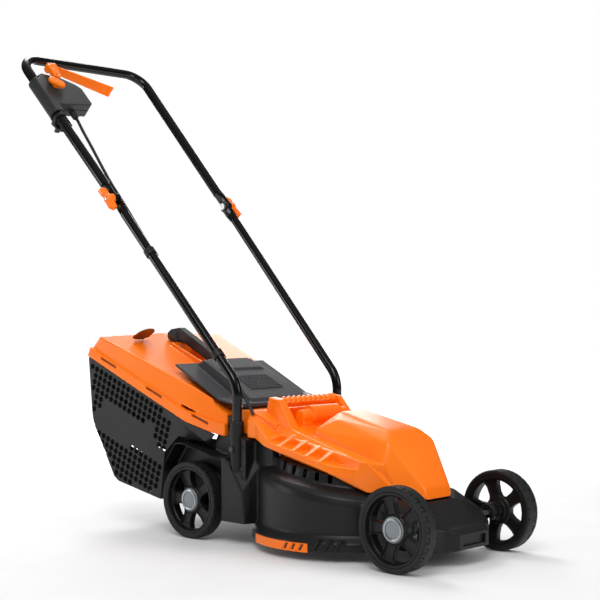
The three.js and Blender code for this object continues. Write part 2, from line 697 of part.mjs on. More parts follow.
const switchFrame = new THREE.Group();
{
  const leg = mirrorX(handleDirection);
  const inward = new THREE.Vector3(1, 0, 0).addScaledVector(leg, -leg.x).normalize();
  const out = inward.clone().cross(leg).normalize();
  switchFrame.quaternion.setFromRotationMatrix(new THREE.Matrix4().makeBasis(inward, leg, out));
  switchFrame.position.copy(mirrorX(HANDLE_CORNER));
  chassis.add(switchFrame);
}

const boxPlan = [
  [2, SWITCH.above - 6], [14, SWITCH.above + 2], [64, SWITCH.above - 8], [90, -88],
  [SWITCH.inner, -100], [SWITCH.inner, -148], [94, -154], [26, SWITCH.below + 6],
  [2, SWITCH.below + 6],
];

const alongY = (y0, y1, r, segments = 16) => {
  const geometry = turned([[0, -y1], [r, -y1], [r, -y0], [0, -y0]], segments);
  return solid(geometry.rotateX(Math.PI / 2));
};

function switchHalf(z0, z1) {
  const sleeve = alongY(SWITCH.below - 14, SWITCH.above - 14, SWITCH.sleeve, 24);
  const shell = join(sleeve, solid(upright(boxPlan, SWITCH.bottom, SWITCH.top)));
  const slab = block([-30, -200, z0], [130, -40, z1]);
  const cavity = block([22, -146, SWITCH.bottom + WALL], [86, -90, SWITCH.top - WALL]);
  return cut(shell.intersect(slab), cavity, alongY(-220, 0, UPPER_TUBE_R + GAP, 24));
}

const pinBore = () => cylinderZ(PIVOT.x, PIVOT.y, -30, 60, PIVOT.r + GAP, 12);

function switchCover() {
  const button = cylinderZ(BUTTON.x, BUTTON.y, 0, 40, BUTTON.stem + GAP, 16);
  return cut(switchHalf(GAP / 2, SWITCH.top), pinBore(), button);
}

function switchBase() {
  const mouth = alongY(-200, -140, GLAND.r + GAP, 12).translate([GLAND.x, 0, GLAND.z]);
  const wires = block([30, -144, -40], [44, -130, -10]);
  return cut(switchHalf(SWITCH.bottom, -GAP / 2), mouth, wires, pinBore());
}

// Collar that grips the motor cable where it leaves the box.
function cableGland() {
  const collar = join(alongY(-164, -149, GLAND.r, 12), alongY(-176, -163, GLAND.r + 1.5, 12));
  return cut(collar, alongY(-200, -140, CABLE_R + GAP, 12)).translate([GLAND.x, 0, GLAND.z]);
}

// Housing for the mains plug, under the box and open down the leg, with its three pins.
function powerInlet() {
  const top = SWITCH.bottom - GAP;
  const body = block([20, -186, top - 20], [45, -146, top]);
  const mouth = block([23, -190, top - 17], [42, -162, top - 3]);
  const pins = [[28, -8], [37, -8], [32.5, -13]].map(([x, z]) =>
    alongY(-180, -160, 1.6, 8).translate([x, 0, top + z]));
  return join(cut(body, mouth), ...pins);
}

// Snap switch inside the box, which the lever's cam presses.
const microSwitch = () => join(
  block([50, -140, -13], [78, -112, 3]), block([60, -112.5, -8], [68, -106, -2]));

// Lever: an arm from its pin and a long half-round bail towards the crossbar's middle.
function switchLever() {
  const { x, y } = PIVOT;
  const low = SWITCH.top + GAP;
  const boss = cylinderZ(x, y, low, SWITCH.top + 12, 10, 16);
  const arm = hull([low, SWITCH.top + 12].flatMap((z) => [
    [x - 9, y + 4, z], [x + 9, y - 2, z], [35, -46, z], [58, -46, z],
  ]));
  const elbow = hull([
    ...[SWITCH.top - 6, SWITCH.top + 9].flatMap((z) => [
      [35, -54, z], [34, -46, z], [38, -37, z], [58, -35, z], [60, -52, z]]),
    ...[[40, -50], [42, -41], [58, -40], [58, -50]].map(([u, v]) => [u, v, SWITCH.top + 13]),
  ]);
  const [near, far] = LEVER_SECTIONS;
  const ring = ({ x: u, y: v, half, thick }) => [
    [u, v - thick, 5 - half], [u, v - thick, 5 + half],
    [u, v + thick * 0.4, 5 - half * 0.75], [u, v + thick * 0.4, 5 + half * 0.75],
    [u, v + thick, 5 - half * 0.3], [u, v + thick, 5 + half * 0.3],
  ];
  const shoulder = hull([
    [44, -40, 4], [44, -50, SWITCH.top + 12], [44, -37, SWITCH.top + 9], [50, -46, 2],
    [56, -36, SWITCH.top + 9], ...ring(near),
  ]);
  const bail = hull([...ring(near), ...ring(far)]);
  return cut(join(boss, arm, elbow, shoulder, bail), pinBore());
}

// Safety button: a long cap on a round stem.
function lockButton() {
  const { x, y, stem } = BUTTON;
  const cap = (z, r) => [[x - 7, y + 5], [x + 7, y - 5]].flatMap(([u, v]) =>
    Array.from({ length: 10 }, (_, k) => {
      const angle = (k * Math.PI) / 5;
      return [u + r * Math.cos(angle), v + r * Math.sin(angle), z];
    }));
  const head = hull([...cap(SWITCH.top + BUTTON_TRAVEL + GAP, 10),
    ...cap(SWITCH.top + 10, 10.5), ...cap(SWITCH.top + 12.5, 8)]);
  return join(head, cylinderZ(x, y, 2, SWITCH.top + 6, stem, 16));
}

// Strain relief: a ring on the leg with a hook for a loop of the mains lead.
function cableHook() {
  const ring = alongY(-193, -184, UPPER_TUBE_R + 3, 16);
  const neck = block([-9, -193, -20], [5, -184, -8]);
  const hook = join(block([-7, -206, -20], [3, -184, -14.5]),
    block([-7, -206, -26], [3, -200, -14.5]));
  return cut(join(ring, neck, hook), alongY(-240, -170, UPPER_TUBE_R + GAP, 16));
}

// ---------------------------------------------------------------- motor cable
// From the switch box, hanging beside the near legs, then clipped along the lower tube and
// into the hood. Points are places on its centreline.
const CABLE_ROUTE = [
  [-112.3, 848, 780], [-119, 806, 738],
  [-126, 768, 700], [-132, 733, 666], [-133.2, 698, 630], [-133.4, 661, 589], [-132.4, 620, 543],
  [-130.6, 580, 499], [-128.7, 540, 456], [-126.9, 500, 413], [-125.2, 460, 371],
  [-123.8, 425, 334], [-123.2, 395, 300], [-121.6, 371, 267], [-121.4, 356, 248],
  [-122, 346.5, 236], [-122, 345, 232.5],
];

function motorCable() {
  const fromSwitch = (along) => new THREE.Vector3(GLAND.x, along, GLAND.z)
    .applyQuaternion(switchFrame.quaternion).add(switchFrame.position);
  const route = [fromSwitch(-156), fromSwitch(-168), fromSwitch(-180),
    ...CABLE_ROUTE.map((p) => new THREE.Vector3(...p))];
  return solid(bar(new THREE.CatmullRomCurve3(route), CABLE_R, 6, 54));
}

// Clip that holds the cable beside the lower tube, at a distance along it from its knee.
const CLIPS = [['lower', 70], ['upper', 330]];
function cableClip(along) {
  const centre = forSide(-1, LOWER_BEND).addScaledVector(forSide(-1, lowerDirection), along);
  const aim = new THREE.Quaternion().setFromUnitVectors(
    new THREE.Vector3(0, 0, 1), forSide(-1, lowerDirection));
  const length = 7;
  const pass = (dx, dy, r, half, sides) => {
    const geometry = turned([[0, -half], [r, -half], [r, half], [0, half]], sides);
    geometry.translate(dx, dy, 0).applyQuaternion(aim);
    return solid(geometry.translate(centre.x, centre.y, centre.z));
  };
  const [reach, below] = [12.6, 3.6]; // the cable's centre from the tube's
  const band = join(pass(0, 0, LOWER_TUBE_R + 2.4, length, 12),
    pass(reach, below, CABLE_R + 2.8, length, 10));
  return cut(band, pass(0, 0, LOWER_TUBE_R + 0.6, 20, 12),
    pass(reach, below, CABLE_R + 1.3, 20, 10));
}

// ---------------------------------------------------------------- grass box
const halfWidth = (y) => BOX_FRONT_HALF + BOX_FLARE * (y - BOX_FRONT);

// Spreads an outline's extrusion from x = -1..1 to the box's flaring width, less an inset.
function flared(outline, inset) {
  const geometry = across(outline, -1, 1);
  const position = geometry.attributes.position;
  for (let i = 0; i < position.count; i += 1) {
    position.setX(i, position.getX(i) * (halfWidth(position.getY(i)) - inset));
  }
  return solid(geometry);
}

const LID_BOTTOM = [[760, 327], [598.7, 251.7], [510.7, 211], [449.4, 194.4], [414, 189]];
const lidTop = (y) => 242 + 0.384 * (y - 415);

function boxLid() {
  const rim = flared([...LID_BOTTOM, [414, 212], [449.4, 217], [510.7, 233], [608, 277],
    [752, 344]], 0);
  const crown = hull([
    ...[415, 735].flatMap((y) => [[1, y, lidTop(y)], [-1, y, lidTop(y)]]
      .map(([s, yy, z]) => [s * (halfWidth(yy) - 6), yy, z])),
    [0, 735, lidTop(735) + 5], [0, 560, lidTop(560) + 2],
    ...[[414, 205], [752, 340], [600, 268]].flatMap(([y, z]) =>
      [[halfWidth(y) - 3, y, z], [-halfWidth(y) + 3, y, z]]),
  ]);
  const body = join(rim, crown);
  const hollow = flared([[757, 300], [748, 340], [731, 362], [560, 292], [500, 268], [380, 222],
    [380, 150], [600, 150]], WALL + 3);
  const rimHollow = flared([[757, 300], [757, 323], [749, 340], [608, 274], [510, 229],
    [449, 213], [380, 208], [380, 150], [600, 150]], WALL);
  // A shallow dish under the flap and, behind it, the finger pocket below the handle.
  const dish = hull(bothSides([
    [121, 405, 225], [121, 405, 290], [121, 560, 298], [121, 560, 340], [60, 405, 225],
  ]));
  const pocket = hull(bothSides([
    [34, 556, 282], [34, 556, 360], [24, 668, 324], [24, 668, 396],
  ]));
  const tray = hull(bothSides([
    [38, 553, 277], [38, 553, 300], [28, 673, 319], [28, 673, 352], [38, 553, 310],
  ]));
  const shell = join(cut(body, hollow, rimHollow), tray.intersect(body));
  return cut(shell, dish, pocket, ...slotTools());
}

// Three slots along each side of the rim.
const RIM_SLOTS = [[703, 314.5], [586, 262], [473, 217]];
function slotTools() {
  return RIM_SLOTS.flatMap(([y, z], i) => [1, -1].map((side) => {
    const slope = i < 2 ? 0.435 : 0.36;
    const slot = new THREE.BoxGeometry(2.4, 40, 5);
    slot.rotateX(Math.atan(slope));
    slot.translate(side * halfWidth(y), y, z);
    return solid(slot);
  }));
}

const basketSide = [[757, 321], [748, 219], [745, 200], [689, 96], [677, 87.5], [570, 62],
  [561, 76], [560, 150], [526, 183], [462, 177], [455, 175.5], [440, 191], [449.4, 193.6],
  [510.7, 210.2], [598.7, 250.9], [757, 324.4]];
const basketHollow = [[754, 340], [745, 220], [742, 202], [687, 99], [676, 91], [572, 66],
  [564, 78], [563, 152], [527, 186], [462, 180.5], [430, 178], [430, 260], [598, 260]];

function boxBasket() {
  const outside = join(flared(basketSide, 1.6),
    block([-112, 452, 96], [112, 575, 182]));
  const inside = [
    flared(basketHollow, 1.6 + WALL),
    block([-109, 440, 99], [109, 580, 200]),
  ];
  return cut(outside, ...inside);
}

function boxHandle() {
  const [front, back] = [672, 703];
  const foot = hull(bothSides([
    [10, front, lidTop(front) + 5], [10, back, lidTop(back) + 5.2],
    [14, front + 3, lidTop(front) + 12], [14, back - 2, lidTop(back) + 11],
    [14, front + 3, 370], [14, back - 2, 370], [8, front + 9, 377], [8, back - 7, 378],
  ]));
  const arm = solid(across([[698, 377], [672, 381], [566, 328], [566, 311], [580, 313],
    [664, 354], [682, 356]], -9, 9));
  const root = solid(across([[566, 314], [566, 286.4], [580, 291.8], [580, 316]], -9, 9));
  return join(foot, arm, root);
}

// Flap over the outlet for clippings: it is blown up while the box fills.
const INDICATOR = { x: -82, y: 705, z: 360.5, raised: 0.49 };
function boxIndicator() {
  const outline = [[-21, 0], [21, 0], [19, -27], [9, -38], [-9, -38], [-19, -27]];
  return join(solid(upright(rounded(outline, 5), 0, 2.4)), block([-12, -4, -1.5], [12, 3, 2.4]));
}

// ---------------------------------------------------------------- rear flap
const FLAP_BASE = [[378, 242], [378, 246], [440, 256], [560, 315], [560, 311.5], [442, 252]];
const FLAP_RISE = bothSides([
  [78, 392, 246], [74, 400, 256], [62, 540, 322], [70, 552, 311], [78, 448, 262], [66, 470, 290],
  [66, 390, 247],
]);

function rearFlap() {
  const plate = solid(across(FLAP_BASE, -117.5, 117.5));
  const hollow = hull(FLAP_RISE.map(([x, y, z]) => [x * 0.95, y, z - 3.4]));
  const barrel = cylinderX(-112, 112, HINGE.y, HINGE.z, 5, 12);
  const bore = cylinderX(-125, 125, HINGE.y, HINGE.z, HINGE.r + 0.3, 12);
  const springGap = block([-14, 370, 236], [14, 388, 252]);
  return cut(join(plate, hull(FLAP_RISE), barrel), hollow, bore, springGap);
}

// Coil on the hinge rod that closes the flap, with a tail under the flap.
function flapSpring() {
  const [turns, wire, coilR, half] = [5, 0.8, 4.2, 11];
  const spot = (angle, x) => new THREE.Vector3(
    x, HINGE.y + coilR * Math.cos(angle), HINGE.z + coilR * Math.sin(angle));
  const coil = Array.from({ length: turns * 8 + 1 }, (_, k) =>
    spot((k * Math.PI) / 4, -half + (2 * half * k) / (turns * 8)));
  const path = new THREE.CatmullRomCurve3(coil);
  return solid(bar(path, wire, 4, turns * 9));
}

// ---------------------------------------------------------------- putting it together
part('deck_housing', deckHousing(), BLACK_PLASTIC);
part('motor_hood', motorHood(), ORANGE);
part('rear_flap', rearFlap(), GREY_PLASTIC);
part('flap_hinge_rod', cylinderX(-117, 117, HINGE.y, HINGE.z, HINGE.r, 10), STEEL);
part('flap_spring', flapSpring(), STEEL);
part('box_lid', boxLid(), ORANGE);
part('box_basket', boxBasket(), DARK_PLASTIC);
part('box_handle', boxHandle(), DARK_PLASTIC);

for (const [name, side] of SIDES) {
  part(`skirt_accent_${name}`, skirtAccent(side), ORANGE);
  part(`handle_socket_${name}`, handleSocket(side), BLACK_PLASTIC);
  part(`socket_screw_${name}`, socketScrew(side), STEEL);
  part(`lower_handle_${name}`, lowerHandle(side), BLACK_TUBE);
  part(`fold_bolt_${name}`, foldBolt(side), STEEL);
  const nut = part(`wing_nut_${name}`, wingNut(), ORANGE);
  nut.position.copy(forSide(side, FOLD)).setX(side * (155 + GAP));
  nut.rotation.set(-HANDLE_TILT, side > 0 ? 0 : Math.PI, 0); // its wings lie along the leg
  addWheel(`front_wheel_${name}`, side, 0);
  addWheel(`rear_wheel_${name}`, side, WHEELBASE);
  for (const [i, [x, y]] of HOOD_SCREWS.entries()) {
    part(`hood_screw_${name}_${i + 1}`, hoodScrew(side * x, y), STEEL);
  }
}
part('upper_handle', upperHandle(), BLACK_TUBE);

for (const [name, y] of [['front_axle', 0], ['rear_axle', WHEELBASE]]) {
  const reach = WHEEL_OUT - FACE + 7;
  part(name, cylinderX(-reach, reach, y, WHEEL_R, AXLE_R, 14), STEEL);
}

const rotor = new THREE.Group();
rotor.position.set(0, DRUM_Y, 0);
chassis.add(rotor);
part('motor_can', motorCan(), STEEL, rotor);
part('motor_shaft', motorShaft(), STEEL, rotor);
part('blade_carrier', bladeCarrier(), BLACK_PLASTIC, rotor);
part('cutting_blade', bladeBar(), STEEL, rotor);
part('blade_bolt', join(hexPrism(9, 34, 40), cylinderZ(0, 0, 39, 62, BOLT_R, 12)), STEEL, rotor);

part('switch_box_cover', switchCover(), DARK_PLASTIC, switchFrame);
part('switch_box_base', switchBase(), DARK_PLASTIC, switchFrame);
part('switch_lever', switchLever(), ORANGE, switchFrame);
part('lock_button', lockButton(), ORANGE, switchFrame);
part('lever_pin', cylinderZ(PIVOT.x, PIVOT.y, -12, SWITCH.top + 13, PIVOT.r, 12), STEEL, switchFrame);
part('cable_gland', cableGland(), BLACK_PLASTIC, switchFrame);
part('power_inlet', powerInlet(), BLACK_PLASTIC, switchFrame);
part('micro_switch', microSwitch(), GREY_PLASTIC, switchFrame);
part('cable_hook', cableHook(), BLACK_PLASTIC, switchFrame);

part('motor_cable', motorCable(), CABLE_BLACK);
for (const [name, along] of CLIPS) part(`cable_clip_${name}`, cableClip(along), BLACK_PLASTIC);

const indicator = part('box_indicator', boxIndicator(), ORANGE);
indicator.position.set(INDICATOR.x, INDICATOR.y, INDICATOR.z);
indicator.rotation.x = -INDICATOR.raised;

export default mower;
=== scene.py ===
"""Looks of a corded push lawn mower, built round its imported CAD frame."""

import logging
import math
from dataclasses import dataclass, field
from enum import Enum
from typing import Iterable, Sequence

import bmesh
import bpy
from mathutils import Matrix, Vector


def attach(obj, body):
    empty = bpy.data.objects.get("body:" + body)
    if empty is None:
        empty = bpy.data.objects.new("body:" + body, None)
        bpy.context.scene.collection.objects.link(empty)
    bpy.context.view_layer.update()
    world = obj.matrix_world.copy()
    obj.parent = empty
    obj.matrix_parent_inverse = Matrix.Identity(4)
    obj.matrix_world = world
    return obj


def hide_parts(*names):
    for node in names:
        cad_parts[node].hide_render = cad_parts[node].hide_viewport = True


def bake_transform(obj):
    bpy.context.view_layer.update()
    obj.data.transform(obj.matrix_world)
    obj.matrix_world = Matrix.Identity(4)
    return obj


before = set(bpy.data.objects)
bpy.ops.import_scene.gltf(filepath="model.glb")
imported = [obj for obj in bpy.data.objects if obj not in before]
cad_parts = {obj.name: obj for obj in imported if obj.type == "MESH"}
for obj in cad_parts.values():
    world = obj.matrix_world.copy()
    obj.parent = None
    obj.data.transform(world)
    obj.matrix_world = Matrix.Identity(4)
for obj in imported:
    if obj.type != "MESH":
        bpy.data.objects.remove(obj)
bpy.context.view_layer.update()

LOG = logging.getLogger("mower")
MM = 0.001
METRE = 1000.0  # one metre, in mm
FLECK = 140.0  # size of the broad, faint shade changes in every finish, in mm
COAT_ROUGHNESS = 0.12
TOP_SLOPE = 0.153  # how steeply the deck's top rises towards the back
MIDDLE_Y = 469.0  # the working frame's Y starts at the front axle, in mm
Point = Sequence[float]


def at(x: float, y: float, z: float) -> Vector:
    """A point of the working frame (mm from the front axle) in the row frame (metres)."""
    return Vector((x * MM, (y - MIDDLE_Y) * MM, z * MM))


# ------------------------------------------------------------------ finishes
def linear(code: str) -> tuple[float, float, float, float]:
    """Turns an sRGB hex colour to linear RGBA.

    Args:
        code: six hex digits with a leading hash.

    Returns:
        Linear red, green, blue and an alpha of one.
    """
    values = [int(code[i:i + 2], 16) / 255 for i in (1, 3, 5)]
    curve = [v / 12.92 if v <= 0.04045 else ((v + 0.055) / 1.055) ** 2.4 for v in values]
    return (*curve, 1.0)


def add_node(
    tree: bpy.types.NodeTree,
    kind: str,
    settings: dict | None = None,
    inputs: dict | None = None,
) -> bpy.types.Node:
    """Adds one node.

    Args:
        tree: the material's node tree.
        kind: the node's type name.
        settings: attributes set on the node.
        inputs: input name or index to a value, or to the output socket that feeds it.

    Returns:
        The new node.
    """
    node = tree.nodes.new(kind)
    for name, value in (settings or {}).items():
        setattr(node, name, value)
    for name, value in (inputs or {}).items():
        if isinstance(value, bpy.types.NodeSocket):
            tree.links.new(value, node.inputs[name])
        else:
            node.inputs[name].default_value = value
    return node


class Grain(Enum):
    """How a moulded or coated surface is broken up."""

    SPARK = "spark"  # eroded mould texture: soft pits
    POLISHED = "polished"  # polished mould: long faint waves
    BRUSHED = "brushed"  # rolled or ground metal: fine lines
    RUBBER = "rubber"  # matt, with a bloom


@dataclass(frozen=True)
class Finish:
    """One real surface: its material, colour and the grain that the eye sees."""

    name: str
    slot: str
    colour: str
    shade: str
    roughness: float
    grain: Grain
    grain_mm: float
    bump_mm: float
    metallic: float = 0.0
    coat: float = 0.0
    ior: float = 1.5

    def _grain(self, tree: bpy.types.NodeTree) -> bpy.types.NodeSocket:
        """Adds the texture that breaks up the surface and returns its value output."""
        place = add_node(tree, "ShaderNodeTexCoord").outputs["Object"]
        per_metre = METRE / self.grain_mm
        if self.grain is Grain.BRUSHED:
            stretch = add_node(tree, "ShaderNodeMapping", inputs={
                "Vector": place, "Scale": (per_metre * 0.05, per_metre, per_metre)})
            return add_node(tree, "ShaderNodeTexNoise", inputs={
                "Vector": stretch.outputs[0], "Scale": 1.0, "Detail": 4.0}).outputs[0]
        if self.grain is Grain.SPARK:
            pits = add_node(tree, "ShaderNodeTexVoronoi", {"feature": "SMOOTH_F1"}, {
                "Vector": place, "Scale": per_metre, "Smoothness": 0.6})
            return pits.outputs["Distance"]
        detail = 1.0 if self.grain is Grain.POLISHED else 6.0
        return add_node(tree, "ShaderNodeTexNoise", inputs={
            "Vector": place, "Scale": per_metre, "Detail": detail}).outputs[0]

    def material(self) -> bpy.types.Material:
        """Builds the material once, and returns it."""
        known = bpy.data.materials.get(self.name)
        if known:
            return known
        material = bpy.data.materials.new(self.name)
        material.use_nodes = True
        tree = material.node_tree
        shader = tree.nodes["Principled BSDF"]
        grain = self._grain(tree)
        place = add_node(tree, "ShaderNodeTexCoord").outputs["Object"]
        cloud = add_node(tree, "ShaderNodeTexNoise", inputs={
            "Vector": place, "Scale": METRE / FLECK, "Detail": 3.0}).outputs[0]
        mix = add_node(tree, "ShaderNodeMix", {"data_type": "RGBA"})
        share = add_node(tree, "ShaderNodeMapRange", inputs={
            "Value": cloud, "From Min": 0.35, "From Max": 0.65, "To Min": 0.0, "To Max": 1.0})
        tree.links.new(share.outputs[0], mix.inputs["Factor"])
        mix.inputs["A"].default_value = linear(self.colour)
        mix.inputs["B"].default_value = linear(self.shade)
        tree.links.new(mix.outputs["Result"], shader.inputs["Base Color"])
        rough = add_node(tree, "ShaderNodeMapRange", inputs={
            "Value": grain, "To Min": self.roughness - 0.04, "To Max": self.roughness + 0.05})
        tree.links.new(rough.outputs[0], shader.inputs["Roughness"])
        bump = add_node(tree, "ShaderNodeBump", inputs={
            "Height": grain, "Strength": 1.0, "Distance": self.bump_mm * MM})
        tree.links.new(bump.outputs[0], shader.inputs["Normal"])
        shader.inputs["Metallic"].default_value = self.metallic
        shader.inputs["IOR"].default_value = self.ior
        shader.inputs["Coat Weight"].default_value = self.coat
        shader.inputs["Coat Roughness"].default_value = COAT_ROUGHNESS
        return material


# Polished-mould ABS: saturated, with a soft wide highlight.
ORANGE = Finish("gloss_abs_orange", "hood_plastic", "#FF7B00", "#FA7200", 0.32, Grain.POLISHED,
                26.0, 0.06, coat=0.2, ior=1.36)
# Painted shade: the orange ABS darkened to stand in for shade, on the fill flap and at the backs
# of the lid's rim slots.
PAINTED_SHADE_ORANGE = Finish("gloss_abs_orange_painted_shade", "hood_plastic", "#8A4308", "#7A3A07", 0.45, Grain.POLISHED,
              20.0, 0.1)
# Polypropylene, eroded mould: black with a grey sheen. The 0.8 mm pits are drawn at 2 mm to show.
BLACK_PP = Finish("moulded_polypropylene_black", "deck_plastic", "#0F0F10", "#131314", 0.42,
                  Grain.SPARK, 2.0, 0.04, ior=1.4)
# Painted shade: matt black sheets behind the basket's holes, with no sheen, so each hole reads as
# the dark inside of the basket.
SHADE = Finish("basket_hole_painted_shade", "basket_plastic", "#030303", "#050505", 0.7, Grain.RUBBER,
               3.0, 0.02, ior=1.2)
# The same mould texture in a lighter black, with a wide dull sheen.
DARK_PP = Finish("moulded_polypropylene_dark", "basket_plastic", "#232324", "#28282A", 0.48,
                 Grain.SPARK, 2.0, 0.05, ior=1.4)
# And in slate grey, for the flap.
GREY_PP = Finish("moulded_polypropylene_grey", "flap_plastic", "#37373A", "#323235", 0.48,
                 Grain.SPARK, 2.2, 0.05, ior=1.4)
# Powder coat over steel tube: near black, wet-looking.
TUBE = Finish("powder_coat_black", "tube_paint", "#040405", "#060607", 0.2, Grain.POLISHED,
              40.0, 0.0, ior=1.42)
# Vulcanised rubber: matt black with a faint bloom.
RUBBERY = Finish("moulded_tyre_rubber", "tyre_rubber", "#1A1A1B", "#151516", 0.55, Grain.RUBBER,
                 3.0, 0.05, ior=1.4)
# Satin ABS: flat mid grey with a soft glow.
CAP_GREY = Finish("satin_abs_grey", "cap_plastic", "#7C8286", "#757B7F", 0.4, Grain.POLISHED,
                  14.0, 0.05)
# Chromed ring: bright, with fine lines that break up what it mirrors.
CAP_RING = Finish("brushed_chrome_ring", "cap_plastic", "#AEB2B5", "#A2A7AA", 0.3,
                  Grain.BRUSHED, 1.2, 0.02, metallic=1.0)
# Zinc plate on steel: pale, with rolled lines.
ZINC = Finish("zinc_plated_steel", "zinc_steel", "#C3C6C8", "#AEB2B5", 0.32, Grain.BRUSHED,
              1.5, 0.03, metallic=1.0)
# Painted spring steel: dark grey, half dull.
BLADE = Finish("painted_blade_steel", "blade_steel", "#3B3B3E", "#46464A", 0.42, Grain.RUBBER,
               6.0, 0.06, metallic=0.4)
# PVC sheath: black, with a waxy highlight.
JACKET = Finish("pvc_cable_jacket", "cable_jacket", "#131314", "#181819", 0.4, Grain.POLISHED,
                6.0, 0.04)


# ------------------------------------------------------------------ mesh tools
def hull(bm: bmesh.types.BMesh, points: Iterable[Vector]) -> None:
    """Adds the convex solid that spans some points."""
    corners = [bm.verts.new(p) for p in points]
    made = bmesh.ops.convex_hull(bm, input=corners)
    spare = [v for v in made["geom_interior"] + made["geom_unused"]
             if isinstance(v, bmesh.types.BMVert) and v.is_valid and not v.link_faces]
    bmesh.ops.delete(bm, geom=list(set(spare)), context="VERTS")


def spun(bm: bmesh.types.BMesh, profile: Sequence[Point], steps: int) -> None:
    """Turns a closed profile of (radius, x) points, in mm, about the X axis.

    Args:
        bm: where the ring is added.
        profile: points in order; none may lie on the axis itself.
        steps: flats round the turn.
    """
    before = set(bm.verts)
    ring = [bm.verts.new((x * MM, 0.0, r * MM)) for r, x in profile]
    edges = [bm.edges.new((a, b)) for a, b in zip(ring, ring[1:] + ring[:1])]
    bmesh.ops.spin(bm, geom=ring + edges, cent=(0, 0, 0), axis=(1, 0, 0),
                   angle=math.tau, steps=steps, use_merge=True, use_duplicate=False)
    new = [v for v in bm.verts if v not in before]
    bmesh.ops.remove_doubles(bm, verts=new, dist=1e-6)


def swept_tube(
    bm: bmesh.types.BMesh, corners: Sequence[Vector], bend: float, radius: float, sides: int = 32
) -> None:
    """Adds a round tube through some corners, with a bend of one radius at each.

    Args:
        bm: where the tube is added.
        corners: the tube's ends and the points where its straight runs would meet.
        bend: radius of each bend's centreline, in metres.
        radius: the tube's own radius, in metres.
        sides: flats round the tube.
    """
    heading = (corners[1] - corners[0]).normalized()
    turn = heading.to_track_quat("Z", "Y").to_matrix().to_4x4()
    made = bmesh.ops.create_circle(bm, cap_ends=True, radius=radius, segments=sides,
                                   matrix=Matrix.Translation(corners[0]) @ turn)
    ring = list({e for v in made["verts"] for e in v.link_edges})
    here = corners[0]
    for i in range(1, len(corners)):
        last = i == len(corners) - 1
        heading = (corners[i] - corners[i - 1]).normalized()
        angle = 0.0 if last else heading.angle(corners[i + 1] - corners[i])
        stop = corners[i] - heading * (bend * math.tan(angle / 2))
        grown = bmesh.ops.extrude_edge_only(bm, edges=ring)["geom"]
        verts = [g for g in grown if isinstance(g, bmesh.types.BMVert)]
        bmesh.ops.translate(bm, verts=verts, vec=stop - here)
        ring = [g for g in grown if isinstance(g, bmesh.types.BMEdge)
                and all(v in verts for v in g.verts)]
        here = stop
        if last:
            break
        leaving = (corners[i + 1] - corners[i]).normalized()
        axis = heading.cross(leaving).normalized()
        centre = here + (leaving - heading * leaving.dot(heading)).normalized() * bend
        made = bmesh.ops.spin(bm, geom=ring, cent=centre, axis=axis, angle=angle, steps=12)
        ring = [g for g in made["geom_last"] if isinstance(g, bmesh.types.BMEdge)]
        here = corners[i] + leaving * (bend * math.tan(angle / 2))
    bmesh.ops.contextual_create(bm, geom=ring)


def piece_of(
    bm: bmesh.types.BMesh, name: str, finish: Finish, body: str, replaces: Sequence[str] = (),
    sharp: float = 35.0, outward: bool = True,
) -> bpy.types.Object:
    """Finishes a bmesh as one dressed piece that rides on a body.

    Args:
        bm: the piece's mesh; it is freed.
        name: the piece's name.
        finish: its surface.
        body: the CAD body it moves with.
        replaces: CAD nodes it stands for.
        sharp: edges steeper than this stay crisp, in degrees.
        outward: whether to work the normals out again.

    Returns:
        The new object.
    """
    if outward:
        bmesh.ops.recalc_face_normals(bm, faces=bm.faces[:])
    mesh = bpy.data.meshes.new(name)
    bm.to_mesh(mesh)
    bm.free()
    return dressed(mesh, name, finish, body, replaces, sharp)


def dressed(
    mesh: bpy.types.Mesh, name: str, finish: Finish, body: str, replaces: Sequence[str],
    sharp: float = 35.0,
) -> bpy.types.Object:
    """Gives a mesh its object, finish and body, and returns the object."""
    mesh.materials.clear()
    mesh.materials.append(finish.material())
    mesh.polygons.foreach_set("use_smooth", [True] * len(mesh.polygons))
    mesh.set_sharp_from_angle(angle=math.radians(sharp))
    piece = bpy.data.objects.new(name, mesh)
    bpy.context.scene.collection.objects.link(piece)
    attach(piece, body)
    if replaces:
        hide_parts(*replaces)
    LOG.info("%s: %d faces", name, len(mesh.polygons))
    return piece


def copy_of(node: str) -> bmesh.types.BMesh:
    """A merged copy of a CAD node's mesh, to start a moulding from."""
    bm = bmesh.new()
    bm.from_mesh(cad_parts[node].data)
    bmesh.ops.remove_doubles(bm, verts=bm.verts[:], dist=2e-6)
    return bm


def held(bm: bmesh.types.BMesh) -> bpy.types.Object:
    """Puts a working mesh on an object for modifiers to act on, and frees the bmesh."""
    mesh = bpy.data.meshes.new("work")
    bm.to_mesh(mesh)
    bm.free()
    holder = bpy.data.objects.new("work", mesh)
    bpy.context.scene.collection.objects.link(holder)
    return holder


def released(holders: Sequence[bpy.types.Object]) -> bmesh.types.BMesh:
    """Returns what the first holder's modifiers made of its mesh, and removes all holders."""
    ready = holders[0].evaluated_get(bpy.context.evaluated_depsgraph_get())
    result = bmesh.new()
    result.from_mesh(ready.to_mesh())
    ready.to_mesh_clear()
    for holder in holders:
        mesh = holder.data
        bpy.data.objects.remove(holder)
        bpy.data.meshes.remove(mesh)
    return result


def moulded(bm: bmesh.types.BMesh, voxel_mm: float, passes: int) -> bmesh.types.BMesh:
    """Melts overlapping closed solids into one skin with soft edges, as a mould leaves them.

    Args:
        bm: closed solids, which may overlap; it is freed.
        voxel_mm: size of the skin's cells.
        passes: rounds of smoothing.

    Returns:
        The new skin.
    """
    holder = held(bm)
    remesh = holder.modifiers.new("skin", "REMESH")
    remesh.mode = "VOXEL"
    remesh.voxel_size = voxel_mm * MM
    soften = holder.modifiers.new("soft", "SMOOTH")
    soften.factor = 0.5
    soften.iterations = passes
    return released([holder])


